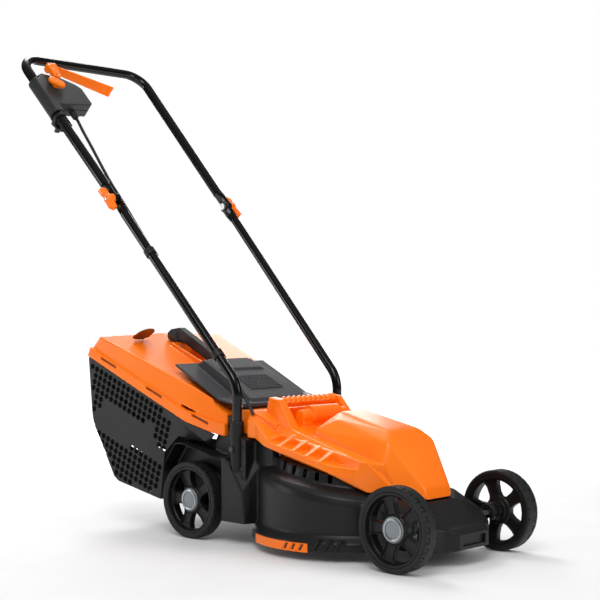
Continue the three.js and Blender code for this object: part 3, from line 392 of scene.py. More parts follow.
def thin(bm: bmesh.types.BMesh, most: int) -> bmesh.types.BMesh:
    """Thins a dense skin to at most so many triangles.

    Args:
        bm: the skin; it may be freed.
        most: how many triangles may stay.

    Returns:
        The skin, or the thinner one.
    """
    triangles = sum(len(f.verts) - 2 for f in bm.faces)
    if triangles <= most:
        return bm
    holder = held(bm)
    holder.modifiers.new("fewer", "DECIMATE").ratio = most / triangles
    return released([holder])


class Join(Enum):
    """How one solid is worked into another."""

    ADD = "UNION"
    TAKE = "DIFFERENCE"


def combined(base: bmesh.types.BMesh, tools: Iterable[bmesh.types.BMesh], how: Join
             ) -> bmesh.types.BMesh:
    """Works closed solids into a closed solid, one by one.

    Args:
        base: the solid to start from; it is freed.
        tools: the solids to add or take away; they are freed.
        how: whether they are added or taken away.

    Returns:
        The result.
    """
    holders = [held(part) for part in (base, *tools)]
    for tool in holders[1:]:
        step = holders[0].modifiers.new("step", "BOOLEAN")
        step.operation = how.value
        step.solver = "MANIFOLD"
        step.object = tool
    return released(holders)


def mirrored(points: Sequence[Point]) -> list[Point]:
    """The same points on both sides of the centre plane."""
    return [(s * x, y, z) for x, y, z in points for s in (1, -1)]


def solid_points(points: Iterable[Point]) -> list[Vector]:
    """Working-frame points in metres."""
    return [at(*p) for p in points]


def hull_solid(points: Iterable[Point]) -> bmesh.types.BMesh:
    """A new mesh with the convex solid that spans some working-frame points."""
    bm = bmesh.new()
    hull(bm, solid_points(points))
    bmesh.ops.recalc_face_normals(bm, faces=bm.faces[:])
    return bm


def box_solid(low: Point, high: Point) -> bmesh.types.BMesh:
    """A new mesh with an upright block between two working-frame corners."""
    return hull_solid([(x, y, z) for x in (low[0], high[0]) for y in (low[1], high[1])
                       for z in (low[2], high[2])])


def bar_solid(x0: float, x1: float, y: float, z: float, radius: float, sides: int = 40
              ) -> bmesh.types.BMesh:
    """A new mesh with a round bar along X between two faces."""
    return hull_solid([(x, y + radius * math.cos(math.tau * k / sides),
                        z + radius * math.sin(math.tau * k / sides))
                       for x in (x0, x1) for k in range(sides)])


def pulled(points: Sequence[Point], wall: float) -> bmesh.types.BMesh:
    """The hollow of a convex shell: its points drawn inwards, and open far below.

    Args:
        points: the shell's outer points.
        wall: how far each is drawn towards their middle, in mm.

    Returns:
        A new mesh with the hollow as a solid.
    """
    middle = sum((Vector(p) for p in points), Vector()) / len(points)
    inner = [Vector(p) + (middle - Vector(p)).normalized() * wall for p in points]
    return hull_solid([(p.x, p.y, p.z - drop) for p in inner for drop in (0, 90)])


def leaning_drum(profile: Sequence[Point], y: float, slope: float) -> bmesh.types.BMesh:
    """A new mesh with a turned body about Z whose upper part rises towards the back.

    Args:
        profile: closed (radius, z) points in mm, none of them on the axis.
        y: the axis in the working frame.
        slope: rise per length, above the skirt.

    Returns:
        The new mesh.
    """
    bm = bmesh.new()
    ring = [bm.verts.new((r * MM, 0.0, z * MM)) for r, z in profile]
    edges = [bm.edges.new((a, b)) for a, b in zip(ring, ring[1:] + ring[:1])]
    bmesh.ops.spin(bm, geom=ring + edges, cent=(0, 0, 0), axis=(0, 0, 1), angle=math.tau,
                   steps=96, use_merge=True, use_duplicate=False)
    bmesh.ops.remove_doubles(bm, verts=bm.verts[:], dist=1e-5)
    for vert in bm.verts:
        lift = min(max((vert.co.z / MM - 44) / 66, 0.0), 1.0)
        outside = min(max((math.hypot(vert.co.x, vert.co.y) / MM - 64) / 36, 0.0), 1.0)
        vert.co.z += slope * vert.co.y * lift * outside
    bmesh.ops.translate(bm, verts=bm.verts[:], vec=at(0, y, 0))
    bmesh.ops.recalc_face_normals(bm, faces=bm.faces[:])
    return bm


# ------------------------------------------------------------------ wheels
@dataclass
class Wheel:
    """One wheel: a lugged tyre, a five-spoke rim and a grey hub cap."""

    name: str
    side: int
    y: float
    radius: float = 70.0
    outer_x: float = 156.0
    width: float = 29.0
    lugs: int = 26
    spokes: int = 5
    depth: float = 1.5

    @property
    def centre(self) -> Vector:
        """Middle of the wheel, in metres."""
        return at(self.side * (self.outer_x - self.width / 2), self.y, self.radius)

    def _place(self, bm: bmesh.types.BMesh) -> None:
        """Moves a mesh made round the origin, with its outer face to +X, into place."""
        if self.side < 0:
            bmesh.ops.scale(bm, verts=bm.verts[:], vec=(-1, 1, 1))
            bmesh.ops.reverse_faces(bm, faces=bm.faces[:])
        bmesh.ops.translate(bm, verts=bm.verts[:], vec=self.centre)

    def _groove(self, bm: bmesh.types.BMesh, angle: float, strokes: Sequence[tuple]) -> None:
        """Adds cutters for one repeat of the tread's grooves.

        Args:
            bm: the cutters' mesh.
            angle: where on the tyre the repeat starts, in radians.
            strokes: (x from, x to, arc from, arc to, width) in mm over the tread's face.
        """
        for x0, x1, arc0, arc1, broad in strokes:
            along = Vector((x1 - x0, arc1 - arc0)).normalized()
            side = Vector((-along.y, along.x)) * (broad / 2)
            points = []
            for x, arc in ((x0, arc0), (x1, arc1)):
                for sign in (1, -1):
                    turn = angle + (arc + sign * side.y) / self.radius
                    for reach in (self.radius - self.depth, self.radius + 2):
                        points.append(Vector((x + sign * side.x, reach * math.sin(turn),
                                              reach * math.cos(turn))) * MM)
            hull(bm, points)

    def build_tyre(self) -> None:
        """Makes the tyre: a full band with grooves cut in its face."""
        body = bmesh.new()
        half = self.width / 2
        spun(body, [(61, -13), (63, -13.9), (65.6, -half), (68.2, -half + 0.5),
                    (69.6, -half + 1.8), (self.radius, -half + 3.6), (self.radius, half - 3.6),
                    (69.6, half - 1.8), (68.2, half - 0.5), (65.6, half), (63, 13.9),
                    (61, 13.4)], 130)
        pitch = math.tau * self.radius / self.lugs
        hook = [(16, 5.0, -pitch * 0.30, -pitch * 0.30, 1.9),
                (5.0, 4.2, -pitch * 0.34, pitch * 0.16, 1.7),
                (5.0, 10.5, pitch * 0.12, pitch * 0.20, 1.9)]
        dash = [(-16, -8.0, -pitch * 0.05, pitch * 0.05, 2.1)]
        for strokes in (hook[:1] + dash, hook[1:2], hook[2:]):
            tools = bmesh.new()
            for k in range(self.lugs):
                self._groove(tools, math.tau * k / self.lugs, strokes)
            body = combined(body, [tools], Join.TAKE)
        self._place(body)
        piece_of(body, f"{self.name}_tread", RUBBERY, self.name, [f"{self.name}_tyre"], 32)

    def _spoke(self, bm: bmesh.types.BMesh, angle: float) -> None:
        """Adds one spoke: a broad tapering web with a rib along each edge."""
        across = Matrix.Rotation(angle, 4, "X")

        def bar(points: Sequence[Point]) -> None:
            hull(bm, [across @ (Vector(p) * MM) for p in points])

        web = [(12, 20), (10, 30), (11, 42), (16, 56.5)]
        for (w0, r0), (w1, r1) in zip(web, web[1:]):
            bar([(x, s * w, r) for w, r in ((w0, r0), (w1, r1)) for s in (1, -1)
                 for x in (-4.5, 2.5)])
            for s in (1, -1):
                bar([(x, s * (w - inset), r) for w, r in ((w0, r0), (w1, r1))
                     for inset, x in ((0, -6), (2.6, -6), (0.3, 6.6), (1.9, 6.6))])

    def build_rim(self) -> None:
        """Makes the hub, the spokes and the rolled outer ring as one moulding."""
        bm = bmesh.new()
        spun(bm, [(4.3, -22), (15, -22), (16.5, -8), (24.5, -6.5), (25, 5.6), (22.6, 8),
                  (4.3, 8)], 72)
        spun(bm, [(53, -12), (60.7, -14), (60.7, 14.1), (57.4, 14.3), (55.6, 13),
                  (54.4, 4), (52.6, 3)], 96)
        for k in range(self.spokes):
            self._spoke(bm, math.tau * (k + 0.5) / self.spokes)
        turn = Matrix.Rotation(math.radians(90), 3, "X")
        bmesh.ops.rotate(bm, verts=bm.verts[:], matrix=turn)
        bm = moulded(bm, 1.1, 3)
        self._place(bm)
        piece_of(bm, f"{self.name}_spider", BLACK_PP, self.name, [f"{self.name}_rim"], 50)

    def build_cap(self) -> None:
        """Makes the cap with its bright raised ring."""
        bm = bmesh.new()
        spun(bm, [(0.01, 8.3), (21, 8.3), (21.2, 10.2), (20.5, 11.2), (19.4, 11.5),
                  (19.2, 10.6), (14.6, 10.6), (14.4, 11.2), (13.4, 11.5), (0.01, 11.9)], 72)
        bmesh.ops.remove_doubles(bm, verts=bm.verts[:], dist=5e-5)
        self._place(bm)
        piece_of(bm, f"{self.name}_cap_face", CAP_GREY, self.name, [f"{self.name}_hub_cap"], 25)
        bm = bmesh.new()
        spun(bm, [(14.7, 10.7), (19.1, 10.7), (18.7, 12.2), (17.6, 12.7), (16.2, 12.7),
                  (15.1, 12.2)], 72)
        self._place(bm)
        piece_of(bm, f"{self.name}_cap_ring", CAP_RING, self.name, (), 50)

    def build(self) -> None:
        """Makes the whole wheel."""
        self.build_tyre()
        self.build_rim()
        self.build_cap()


# ------------------------------------------------------------------ shells
@dataclass
class SkirtTooth:
    """One slanting bar on the skirt, at an angle from the nose, in degrees and mm."""

    degrees: float
    inner: float = 175.0
    outer: float = 180.5
    toe: float = 1.5
    half: float = 3.6
    low: float = 19.0
    high: float = 37.0
    slant: float = 0.55
    skirt: float = 177.0

    def add(self, bm: bmesh.types.BMesh, side: int, middle_y: float) -> None:
        """Adds the bar to a mesh, on one side of a drum whose axis is at middle_y."""
        points = []
        for r in (self.inner, self.outer):
            for z in (self.low, self.high):
                for w in (-self.half, self.half):
                    a = math.radians(self.degrees) + (w - self.slant * (z - self.low)) / self.skirt
                    out = r + (self.toe if z == self.low and r == self.outer else 0)
                    points.append((side * out * math.sin(a), middle_y - out * math.cos(a), z))
        hull(bm, solid_points(points))


@dataclass
class Deck:
    """Round blade housing, nose, tail and wheel guards, moulded in one."""

    voxel: float = 2.0
    passes: int = 2
    drum_y: float = 220.0
    flats: int = 32
    vents: tuple[float, ...] = (64.0, 74.0, 84.0, 95.0, 107.0)
    nose: tuple = ((40, -49, 28), (40, -49, 55), (38, -40, 61), (62, -24, 27), (62, -24, 60),
                   (40, -24, 27), (38, -24, 66))
    nose_panel: tuple = ((32, -54, 33), (32, -54, 50), (30, -44, 34.5), (30, -44, 48.5))

    def _rounded_drum(self, bm: bmesh.types.BMesh) -> None:
        """Pushes the drum's flats out to a true circle."""
        step = math.tau / self.flats
        middle = (self.drum_y - MIDDLE_Y) * MM
        for vert in bm.verts:
            x, y = vert.co.x, vert.co.y - middle
            radius = math.hypot(x, y)
            if not 0.13 < radius < 0.1795 or vert.co.z > 0.137:
                continue
            off = (math.atan2(y, x) % step) - step / 2
            grow = math.cos(off) / math.cos(step / 2)
            vert.co.x, vert.co.y = x * grow, middle + y * grow

    def _vents(self) -> bmesh.types.BMesh:
        """Makes the cutters for the cooling slots under the hood's edge."""
        bm = bmesh.new()
        for side in (1, -1):
            for degrees in self.vents:
                a = math.radians(degrees)
                foot = 137 - 138 * TOP_SLOPE * math.cos(a)
                points = []
                for r in (130, 147):
                    for w in (-4, 4):
                        for z in (foot - 1, foot + 13.5):
                            points.append((
                                side * (r * math.sin(a) + w * math.cos(a)),
                                self.drum_y - r * math.cos(a) + w * math.sin(a), z))
                hull(bm, solid_points(points))
        return bm

    def build(self) -> None:
        """Makes the housing."""
        nose = hull_solid(mirrored(self.nose))
        bm = moulded(combined(copy_of("deck_housing"), [nose], Join.ADD), self.voxel,
                     self.passes)
        self._rounded_drum(bm)
        bmesh.ops.smooth_vert(bm, verts=bm.verts[:], factor=0.5, use_axis_x=True,
                              use_axis_y=True, use_axis_z=True)
        bm = thin(bm, 170000)
        bm = combined(bm, [self._vents(), hull_solid(mirrored(self.nose_panel))], Join.TAKE)
        piece_of(bm, "deck_shell", BLACK_PP, "chassis", ["deck_housing"], 60, outward=False)
        self._build_skirt_teeth()

    def _build_skirt_teeth(self) -> None:
        """Makes the slanting teeth on the skirt and the dark bars in its orange strip."""
        bm = bmesh.new()
        for side in (1, -1):
            for tooth in (SkirtTooth(70), SkirtTooth(64), SkirtTooth(58)):
                tooth.add(bm, side, self.drum_y)
            for degrees in (78, 83, 88):
                SkirtTooth(degrees, 171.6, 178.6, 0.0, 1.5, 18.5, 28.0).add(bm, side, self.drum_y)
        piece_of(bm, "skirt_teeth", BLACK_PP, "chassis", (), 30)


@dataclass
class Hood:
    """Orange motor hood: a long hump between two finned ledges, with a ribbed grip behind."""

    hump: tuple = ((32, 218, 240.5), (29, 112, 217), (55, 205, 228), (55, 103, 204),
                   (78, 240, 209), (76, 84, 160), (40, 97, 213), (60, 84, 196), (38, 45, 126),
                   (34, 23, 102), (34, 28, 122), (70, 60, 116), (60, 46, 104), (78, 240, 150),
                   (76, 84, 112))
    hump_rounds: int = 34
    wall: float = 9.0
    ridge: tuple = ((90, 312, 216), (90, 312, 160), (78, 84, 160), (102, 312, 202),
                    (98, 104, 163), (102, 312, 160), (98, 104, 130), (78, 84, 130))
    ledge: tuple = ((137, 304, 180), (137, 292, 191), (133, 165, 148), (132, 165, 161),
                    (102, 312, 202), (102, 312, 180), (98, 103, 165), (110, 118, 135),
                    (109, 118, 149), (98, 99, 114), (70, 60, 116))
    shoulder: tuple = ((119, 377, 239), (119, 377, 191), (119, 350, 238), (100, 308, 216),
                       (100, 308, 180), (119, 350, 191))
    pillar: tuple = ((116, 330, 191), (129, 334, 191), (129, 353, 191), (116, 358, 191),
                     (116, 330, 222), (129, 334, 221), (129, 353, 221), (116, 358, 234))
    cheek: tuple = ((129, 334, 221), (129, 334, 191), (137, 304, 180), (137, 292, 191),
                    (102, 312, 202), (102, 312, 180), (116, 340, 226), (116, 340, 191))
    strut: tuple = ((70, 279, 206), (92, 279, 206), (70, 318, 214), (94, 322, 214),
                    (70, 316, 258), (84, 318, 257), (70, 340, 262), (86, 342, 261),
                    (90, 348, 226), (70, 348, 226))
    crest: tuple = ((111.4, 344.5, 120.5), (142.6, 344.5, 120.5), (142.6, 344.5, 189.5),
                    (111.4, 344.5, 189.5), (111.4, 401.5, 120.5), (130.6, 401.5, 120.5),
                    (130.6, 401.5, 205.5), (111.4, 401.5, 205.5))
    catch: tuple = ((25, 62, 147), (23, 47, 141), (25, 40, 131), (25, 62, 128))
    fin: tuple = ((98, -7, 206), (98, 6, 206), (133.5, -7, 191.5), (133.5, 1, 191.5),
                  (98, -7, 180), (98, 6, 180), (133.5, -7, 184), (133.5, 1, 184))
    fins: tuple[float, ...] = (272.0, 242.0, 211.0, 180.0)
    fin_drop: float = 0.226
    recess: tuple = ((293.0, 104.0, 188.0, 204.0), (150.0, 103.0, 156.0, 172.0),
                     (106.0, 104.0, 152.0, 158.0))
    lip: float = 0.5
    chamber: tuple = ((0.01, 20), (165.3, 20), (165.3, 108.3), (162.3, 119.3), (155.3, 126.3),
                      (140.3, 133.3), (137.3, 150.3), (116, 156.3), (64, 156.3), (0.01, 156.3))
    drum_y: float = 220.0
    slope: float = TOP_SLOPE
    voxel: float = 1.4
    grip_y: float = 330.0
    grip_z: float = 251.0
    grip_r: float = 8.6
    ribs: int = 10

    def _grip(self) -> bmesh.types.BMesh:
        """Makes the carrying bar with its slanting ribs."""
        bm = bmesh.new()
        points = [(x, self.grip_y + self.grip_r * math.cos(math.tau * k / 32),
                   self.grip_z + self.grip_r * math.sin(math.tau * k / 32))
                  for x in (-73, 73) for k in range(32)]
        hull(bm, solid_points(points))
        for k in range(self.ribs):
            middle = -60 + 120 * k / (self.ribs - 1)
            for degrees in range(-100, 80, 20):
                a, b = math.radians(degrees), math.radians(degrees + 20)
                points = [(middle + 6 * turn + w, self.grip_y + r * math.sin(turn),
                           self.grip_z + r * math.cos(turn))
                          for turn in (a, b) for r in (5, self.grip_r + 3.0)
                          for w in ((-3.6, 3.6) if r == 5 else (-3.0, 3.0))]
                hull(bm, solid_points(points))
        return bm

    def _masses(self) -> bmesh.types.BMesh:
        """Joins the outer solids of the hood, with the hump rounded first."""
        soft = moulded(hull_solid(mirrored(self.hump)), 2.0, self.hump_rounds)
        parts = [hull_solid(mirrored(p)) for p in (self.ridge, self.ledge, self.shoulder)]
        for side in (1, -1):
            for points in (self.pillar, self.cheek, self.strut):
                parts.append(hull_solid([(side * x, y, z) for x, y, z in points]))
        parts += [bar_solid(-37, 37, 290, 230, 17), bar_solid(-60, 60, 290, 228, 12),
                  box_solid((-60, 280, 196), (60, 300, 226)), hull_solid(mirrored(self.catch))]
        body = combined(soft, parts, Join.ADD)
        recesses, fins = [], []
        for side in (1, -1):
            for near, far in ((0, 1), (1, 2)):
                points = []
                for y, x, low, high in (self.recess[near], self.recess[far]):
                    points += [(side * x, y, low), (side * 142, y, low + self.lip),
                               (side * (x - 3), y, high + 14), (side * 142, y, high + 14)]
                recesses.append(hull_solid(points))
            for y in self.fins:
                drop = self.fin_drop * (304 - y)
                fins.append(hull_solid([(side * x, y + along, z - drop)
                                        for x, along, z in self.fin]))
        return combined(combined(body, recesses, Join.TAKE), fins, Join.ADD)

    def build(self) -> None:
        """Makes the hood."""
        body = self._masses()
        tools = [pulled(mirrored(self.hump), self.wall),
                 box_solid((-66, 304, 216), (66, 351, 290)),
                 leaning_drum(self.chamber, self.drum_y, self.slope),
                 box_solid((-118.4, 298, 100), (118.4, 447, 188.5))]
        tools += [hull_solid([(side * x, y, z) for x, y, z in self.crest]) for side in (1, -1)]
        body = combined(body, tools, Join.TAKE)
        grip = self._grip()
        mesh = bpy.data.meshes.new("grip")
        grip.to_mesh(mesh)
        grip.free()
        body.from_mesh(mesh)
        bpy.data.meshes.remove(mesh)
        body = moulded(body, self.voxel, 1)
        body = thin(body, 190000)
        piece_of(body, "hood_shell", ORANGE, "chassis", ["motor_hood"], 60, outward=False)


@dataclass
class Flap:
    """Grey rear flap over the chute, with a raised, stepped centre."""

    base: tuple = ((378, 242), (378, 246.4), (440, 257), (560, 316), (560, 311.5), (442, 252))
    rise: tuple = ((78, 392, 246), (74, 400, 256), (62, 540, 322), (70, 552, 311),
                   (78, 448, 262), (66, 470, 290), (66, 390, 247))
    step: tuple = ((58, 492, 298), (56, 500, 306.5), (50, 536, 323.5), (54, 542, 320))
    patch_x: tuple[float, float] = (-42.0, 42.0)
    patch_y: tuple[float, float] = (428.0, 476.0)
    across: int = 13
    along: int = 7
    voxel: float = 1.5

    def build(self) -> None:
        """Makes the flap."""
        plate = hull_solid([(x, y, z) for x in (-117.5, 117.5) for y, z in self.base[:3]
                            + self.base[5:]])
        rear = hull_solid([(x, y, z) for x in (-117.5, 117.5) for y, z in self.base[2:]])
        body = combined(plate, [rear, hull_solid(mirrored(self.rise)),
                                hull_solid(mirrored(self.step)),
                                bar_solid(-112, 112, 381, 245, 5)], Join.ADD)
        hollow = [hull_solid([(x * 0.92, y, z - 5) for x, y, z in mirrored(self.rise)]),
                  bar_solid(-125, 125, 381, 245, 2.8), box_solid((-14, 370, 236), (14, 388, 252))]
        body = moulded(combined(body, hollow, Join.TAKE), self.voxel, 2)
        body = thin(body, 110000)
        piece_of(body, "flap_panel", GREY_PP, "flap", ["rear_flap"], 60, outward=False)
        self._build_patch()

    def _build_patch(self) -> None:
        """Makes the field of small raised tiles on the front of the centre."""
        bm = bmesh.new()
        x0, x1 = self.patch_x
        y0, y1 = self.patch_y
        for i in range(self.across):
            for k in range(self.along):
                x = x0 + (x1 - x0) * (i + 0.5) / self.across
                y = y0 + (y1 - y0) * (k + 0.5) / self.along
                z = 257.4 + 0.4714 * (y - 400)
                hull(bm, solid_points([
                    (x + sx * (2.7 - 0.5 * top), y + sy * (2.8 - 0.5 * top),
                     z + sy * 1.25 - 1 + 1.9 * top)
                    for sx in (1, -1) for sy in (1, -1) for top in (0, 1)]))
        piece_of(bm, "flap_tiles", GREY_PP, "flap", (), 30)


def flared(outline: Sequence[Point], inset: float) -> bmesh.types.BMesh:
    """A side outline stretched across the grass box's flaring width.

    Args:
        outline: (y, z) points of the side view, in mm.
        inset: how far inside the box's side faces it stops.

    Returns:
        A new closed mesh.
    """
    bm = bmesh.new()
    corners = [bm.verts.new(at(GrassBox.half_width(y) - inset, y, z)) for y, z in outline]
    face = bm.faces.new(corners)
    far = bmesh.ops.extrude_face_region(bm, geom=[face])["geom"]
    for vert in (g for g in far if isinstance(g, bmesh.types.BMVert)):
        vert.co.x = -vert.co.x
    bmesh.ops.recalc_face_normals(bm, faces=bm.faces[:])
    bmesh.ops.triangulate(bm, faces=bm.faces[:])
    return bm


@dataclass
class GrassBox:
    """Orange lid over a dark meshed basket."""

    bottom: tuple = ((760, 327), (598.7, 251.7), (510.7, 211), (449.4, 194.4), (414, 189))
    upper_field: tuple = ((752, 313), (747, 222), (735, 219), (709, 241), (593, 198),
                          (577, 160), (557, 154), (540, 205), (545, 218), (600, 246))
    lower_field: tuple = ((744, 191), (690, 101), (681, 92.5), (573, 71), (568, 128))
    hole_y: float = 11.4
    hole_z: float = 11.6
    margin: float = 1.2
    mesh_wall: float = 3.2
    # Painted shade sheets behind the holes: how far inside the side faces they lie, in mm.
    shade_sheet_insets: tuple[float, float] = (3.5, 4.5)
    rim_slots: tuple = ((703, 314.5, 0.435), (586, 262, 0.435), (473, 217, 0.36))
    slot_half: tuple[float, float] = (20.0, 2.9)
    voxel: float = 1.7

    @staticmethod
    def half_width(y: float) -> float:
        """Half the lid's width at a distance from the front axle, in mm."""
        return 127 + 0.125 * (y - 415)

    @staticmethod
    def _inside(y: float, z: float, outline: Sequence[Point]) -> bool:
        """Whether a point lies in an outline."""
        odd = False
        for (y0, z0), (y1, z1) in zip(outline, [*outline[1:], outline[0]]):
            if (z0 > z) != (z1 > z) and y < (y1 - y0) * (z - z0) / (z1 - z0) + y0:
                odd = not odd
        return odd

    def _fits(self, y: float, z: float) -> bool:
        """Whether a whole hole fits in one of the two meshed fields."""
        span = (-self.margin, self.margin)
        reach = [(y + dy, z + dz) for dy in span for dz in span]
        return any(all(self._inside(*p, field) for p in reach)
                   for field in (self.upper_field, self.lower_field))

    def _holes(self) -> bmesh.types.BMesh:
        """Makes the cutters for the air holes in both sides."""
        bm = bmesh.new()
        stretch = Matrix.Diagonal((self.hole_z / self.hole_y, 1, 1, 1))
        for col in range(-8, 24):
            for row in range(-14, 26):
                y = 535 + 11.8 * col - 3.3 * row
                z = 65 + 5.2 * col + 12.0 * row
                if not self._fits(y, z):
                    continue
                for side in (1, -1):
                    place = (Matrix.Translation(at(side * self.half_width(y), y, z))
                             @ Matrix.Rotation(math.radians(90), 4, "Y") @ stretch
                             @ Matrix.Rotation(math.radians(22.5), 4, "Z"))
                    bmesh.ops.create_cone(
                        bm, cap_ends=True, segments=8, radius1=self.hole_y / 2 * MM,
                        radius2=self.hole_y / 2 * MM, depth=0.03, matrix=place)
        return bm

    def _slot(self, side: int, y: float, z: float, lean: float, near: float, far: float
              ) -> list[Point]:
        """Corners of a leaning block in the lid's side wall, from near to far off its face."""
        long, high = self.slot_half
        return [(side * (self.half_width(y + dy) + dx), y + dy, z + dy * lean + dz)
                for dx in (near, far) for dy in (-long, long) for dz in (-high, high)]

    def _build_lid(self) -> None:
        """Makes the lid with its rim, dish, finger pocket and rim slots."""
        def top(y: float) -> float:
            return 242 + 0.384 * (y - 415)

        rim = flared([*self.bottom, (414, 212), (449.4, 217), (510.7, 233), (608, 277),
                      (752, 344)], 0)
        crown = [(s * (self.half_width(y) - 9), y, top(y)) for y in (415, 735) for s in (1, -1)]
        crown += [(0, 735, top(735) + 5), (0, 560, top(560) + 2)]
        crown += [(s * (self.half_width(y) - 5), y, z) for y, z in
                  ((414, 205), (752, 340), (600, 268)) for s in (1, -1)]
        body = combined(rim, [hull_solid(crown)], Join.ADD)
        hollow = flared([(752, 300), (744, 330), (728, 350), (560, 282), (500, 258), (380, 212),
                         (380, 150), (600, 150)], 10)
        dish = hull_solid(mirrored([(121, 405, 225), (121, 405, 290), (121, 560, 298),
                                    (121, 560, 340), (60, 405, 225)]))
        pocket = hull_solid(mirrored([(34, 556, 282), (34, 556, 360), (24, 668, 324),
                                      (24, 668, 396)]))
        tray = hull_solid(mirrored([(38, 553, 277), (38, 553, 300), (28, 673, 319),
                                    (28, 673, 352), (38, 553, 310)]))
        body = combined(body, [hollow], Join.TAKE)
        body = combined(body, [tray], Join.ADD)
        body = moulded(combined(body, [dish, pocket], Join.TAKE), self.voxel, 1)
        body = thin(body, 180000)
        # Painted shade: dark orange blocks at the back of each rim slot stand in for the shade
        # inside it.
        slot_shades = bmesh.new()
        slots = []
        for y, z, lean in self.rim_slots:
            for side in (1, -1):
                slots.append(hull_solid(self._slot(side, y, z, lean, -6, 4)))
                hull(slot_shades, solid_points(self._slot(side, y, z, lean, -6.5, -3.5)))
        piece_of(slot_shades, "lid_slot_painted_shade", PAINTED_SHADE_ORANGE, "grass_box", (), 30)
        body = combined(body, slots, Join.TAKE)
        piece_of(body, "lid_shell", ORANGE, "grass_box", ["box_lid"], 60, outward=False)

    def build(self) -> None:
        """Makes the basket, its lid, its handle and the fill flap."""
        bm = combined(copy_of("box_basket"), [flared(self.upper_field, self.mesh_wall),
                                              flared(self.lower_field, self.mesh_wall)],
                      Join.TAKE)
        bm = combined(bm, [self._holes()], Join.TAKE)
        piece_of(bm, "basket_mesh", DARK_PP, "grass_box", ["box_basket"], 30, outward=False)
        # Painted shade: matt black sheets just inside both meshed fields stand in for the dark
        # inside seen through the holes.
        hole_shade = bmesh.new()
        for outline in (self.upper_field, self.lower_field):
            for k in range(1, len(outline) - 1):
                for side in (1, -1):
                    hull(hole_shade, solid_points(
                        (side * (self.half_width(y) - inset), y, z) for inset in self.shade_sheet_insets
                        for y, z in (outline[0], outline[k], outline[k + 1])))
        piece_of(hole_shade, "basket_hole_shade_sheet", SHADE, "grass_box", (), 30)
        self._build_lid()
        bm = moulded(copy_of("box_handle"), 1.2, 5)
        piece_of(bm, "box_grip", DARK_PP, "grass_box", ["box_handle"], 60, outward=False)
        # Painted shade: the fill flap takes the darkened orange that stands in for the shade on
        # its underside.
        bm = moulded(copy_of("box_indicator"), 0.7, 2)
        piece_of(bm, "fill_flap", PAINTED_SHADE_ORANGE, "indicator", ["box_indicator"], 60, outward=False)


